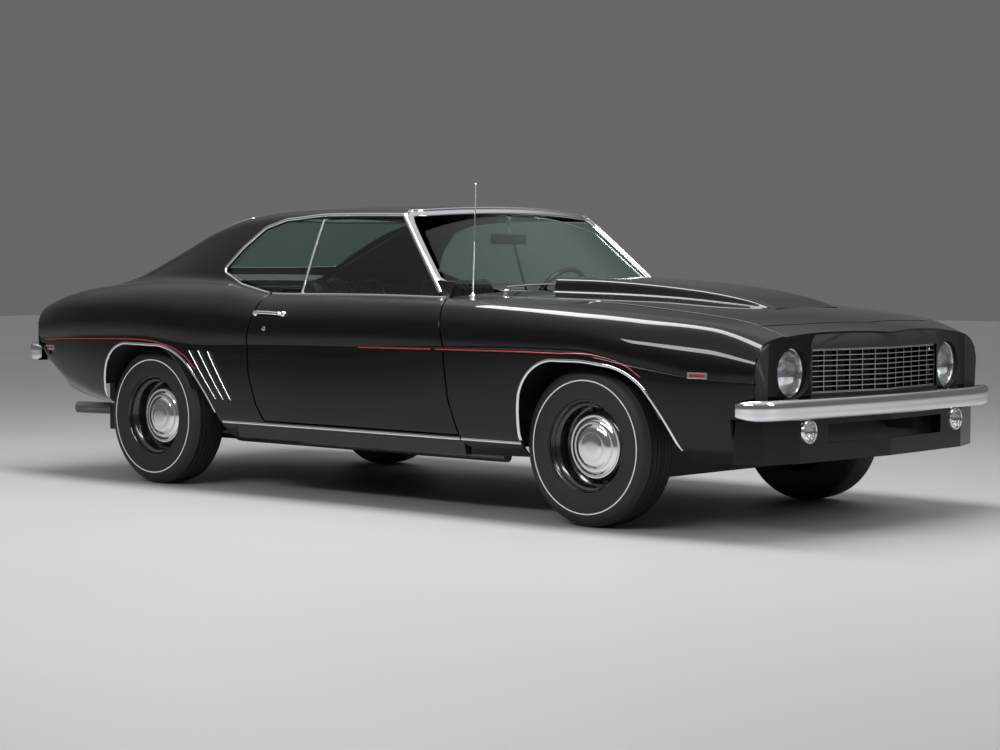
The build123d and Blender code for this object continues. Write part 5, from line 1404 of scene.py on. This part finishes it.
def blow_up(piece):
    """Fills the cover as cloth under pressure, and holds its swelling to a limit."""
    before = mesh_places(piece.data)
    cloth = piece.modifiers.new("cover", "CLOTH")
    cloth.settings.use_pressure = True
    cloth.settings.uniform_pressure_force = PRESSURE
    cloth.settings.quality = 4
    cloth.settings.effector_weights.gravity = 0.0
    cloth.point_cache.frame_start, cloth.point_cache.frame_end = 1, FRAMES
    for step in range(1, FRAMES + 1):
        scene.frame_set(step)
    move = mesh_places(piece.evaluated_get(bpy.context.evaluated_depsgraph_get()).data) - before
    piece.modifiers.remove(cloth)
    reach = np.linalg.norm(move, axis=1, keepdims=True)
    move *= np.minimum(1.0, SWELL / np.maximum(reach, 1e-9))
    piece.data.vertices.foreach_set("co", (before + move).ravel())
    scene.frame_set(1)


def stuffed(name, profile, left, right, pleats, voxel=VOXEL):
    """A padded block with a side profile, from one width to the other, with pleats on top."""
    count = len(profile)
    vertices = [(x, y, z) for y in (left, right) for x, z in profile]
    faces = [tuple(range(count)), tuple(range(count, 2 * count))[::-1]]
    faces += [(n, count + n, count + (n + 1) % count, (n + 1) % count) for n in range(count)]
    piece = new_piece(name, vertices, faces, vinyl, "body")
    put_right(piece)
    bpy.context.view_layer.objects.active = piece
    piece.select_set(True)
    soften = piece.modifiers.new("soften", "BEVEL")
    soften.width, soften.segments, soften.angle_limit = 0.034, 4, math.radians(30)
    bpy.ops.object.modifier_apply(modifier="soften")
    grid = piece.modifiers.new("grid", "REMESH")
    grid.mode, grid.voxel_size = "VOXEL", voxel
    bpy.ops.object.modifier_apply(modifier="grid")
    blow_up(piece)
    places = mesh_places(piece.data)
    normals = np.array([tuple(v.normal) for v in piece.data.vertices])
    middle, half = (left + right) / 2, abs(left - right) / 2
    deep = np.zeros(len(places))
    for n in range(-pleats, pleats + 1):
        seam = middle + n * half * PLEAT_SPAN / (2 * pleats)
        deep += SEAM_DEEP * np.exp(-((places[:, 1] - seam) / SEAM_WIDE) ** 2)
    on_top = normals[:, 2] + normals[:, 0] * 0.9 > 0.35
    deep *= (np.abs(places[:, 1] - middle) < half * PLEATED_SHARE) & on_top
    places -= normals * deep[:, None]
    piece.data.vertices.foreach_set("co", places.ravel())
    piece.data.update()
    bpy.context.view_layer.objects.active = piece
    finer = piece.modifiers.new("finer", "SUBSURF")
    finer.levels = finer.render_levels = 1
    bpy.ops.object.modifier_apply(modifier="finer")
    piece.data.shade_smooth()
    piece.select_set(False)
    return piece



CUSHION = [(-.318, .330), (.150, .342), (.198, .395), (.190, .448), (.142, .466), (-.185, .440),
           (-.250, .455), (-.310, .420)]
BACKREST = [(-.290, .452), (-.282, .500), (-.350, .715), (-.428, .960), (-.470, 1.012), (-.528, 1.000),
            (-.534, .955), (-.470, .690), (-.402, .455), (-.370, .435)]
SEAT_Y, SEAT_HALF, RUNNER_OUT, RUNNER_HALF = .390, .236, .170, .018
for side, word in SIDES:
    low, high = side * SEAT_Y - SEAT_HALF, side * SEAT_Y + SEAT_HALF
    pad = stuffed("seat_cushion_" + word, CUSHION, high, low, 4)
    stuffed("seat_back_" + word, BACKREST, high, low, 4)
    for n, offset in enumerate((-RUNNER_OUT, RUNNER_OUT)):
        y = side * SEAT_Y + offset
        block_piece(f"seat_runner_{word}_{n}", (-.260, y - RUNNER_HALF, .2345),
                    (.100, y + RUNNER_HALF, .345), bare_steel, "body")
    if side > 0:
        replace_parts(pad, "front_seats")
REAR_CUSHION = [(-1.045, .290), (-.660, .290), (-.642, .405), (-.675, .436), (-.945, .418), (-1.010, .440)]
REAR_BACK = [(-1.030, .455), (-1.005, .480), (-1.082, .800), (-1.105, .850), (-1.140, .850), (-1.148, .800),
             (-1.085, .455)]
BENCH_HALF = .545
rear_pad = stuffed("rear_cushion", REAR_CUSHION, BENCH_HALF, -BENCH_HALF, 8, BENCH_VOXEL)
stuffed("rear_backrest", REAR_BACK, BENCH_HALF, -BENCH_HALF, 8, BENCH_VOXEL)
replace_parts(rear_pad, "rear_seat")

# ================================================================== camera, light and floor
# A plain pale floor under one long overhead softbox, with a low fill from the side and front.
CAMERA_PLACE = (7.4696, -8.0884, 1.0871)
CAMERA_AZIMUTH, CAMERA_DOWN, CAMERA_ROLL = 42.09, 2.805, -0.16
camera_data = bpy.data.cameras.new("camera")
camera_data.sensor_width = 36.0
camera_data.lens = 83.466
camera = bpy.data.objects.new("camera", camera_data)
scene.collection.objects.link(camera)
azimuth, down = math.radians(CAMERA_AZIMUTH), math.radians(CAMERA_DOWN)
forward = Vector((-math.sin(azimuth) * math.cos(down), math.cos(azimuth) * math.cos(down), -math.sin(down)))
level = Vector((math.cos(azimuth), math.sin(azimuth), 0.0))
right = Matrix.Rotation(math.radians(CAMERA_ROLL), 3, forward) @ level
up = right.cross(forward)
camera.matrix_world = Matrix.Translation(CAMERA_PLACE) @ Matrix((right, up, -forward)).transposed().to_4x4()
scene.camera = camera

clear_selection()
bpy.ops.mesh.primitive_plane_add(size=60)
floor = bpy.context.object
floor.name = "studio_floor"
floor_finish = grained("studio_floor", (0.37, 0.37, 0.38), 0.5, 0.6,
                       (0.355, 0.355, 0.365), (0.385, 0.385, 0.395))
floor.data.materials.append(floor_finish.material)

# The walls are mid grey and the ceiling pale, with a soft change between them.
WALL, CEILING = (0.135, 0.137, 0.142), (0.60, 0.61, 0.63)
WALL_TOP, CEILING_EDGE = 0.30, 0.75
world = bpy.data.worlds.new("studio")
scene.world = world
world.use_nodes = True
room = world.node_tree
direction = room.nodes.new("ShaderNodeTexCoord")
height = room.nodes.new("ShaderNodeSeparateXYZ")
rise = room.nodes.new("ShaderNodeMapRange")
rise.interpolation_type = "SMOOTHSTEP"
rise.inputs["From Min"].default_value, rise.inputs["From Max"].default_value = WALL_TOP, CEILING_EDGE
room.links.new(direction.outputs["Generated"], height.inputs[0])
room.links.new(height.outputs["Z"], rise.inputs["Value"])
shade = colour_mix(room, rise.outputs["Result"], WALL, CEILING)
room.links.new(shade, room.nodes["Background"].inputs["Color"])
room.nodes["Background"].inputs["Strength"].default_value = 1.0


def soft_lamp(name, place, aim, size, power):
    data = bpy.data.lights.new(name, "AREA")
    data.shape = "RECTANGLE"
    data.size, data.size_y = size
    data.energy = power
    lamp = bpy.data.objects.new(name, data)
    scene.collection.objects.link(lamp)
    lamp.location = place
    lamp.rotation_euler = (Vector(aim) - Vector(place)).to_track_quat("-Z", "Y").to_euler()


soft_lamp("overhead", (0.2, -0.6, 5.2), (0.2, 0, 0.5), (6.5, 1.5), 450)
soft_lamp("side", (1.0, -6.5, 4.2), (0.3, 0, 0.4), (6.0, 0.8), 210)
soft_lamp("front", (7.5, 0.5, 4.0), (1.5, 0, 0.4), (1.2, 3.0), 130)
scene.view_settings.view_transform = "Standard"
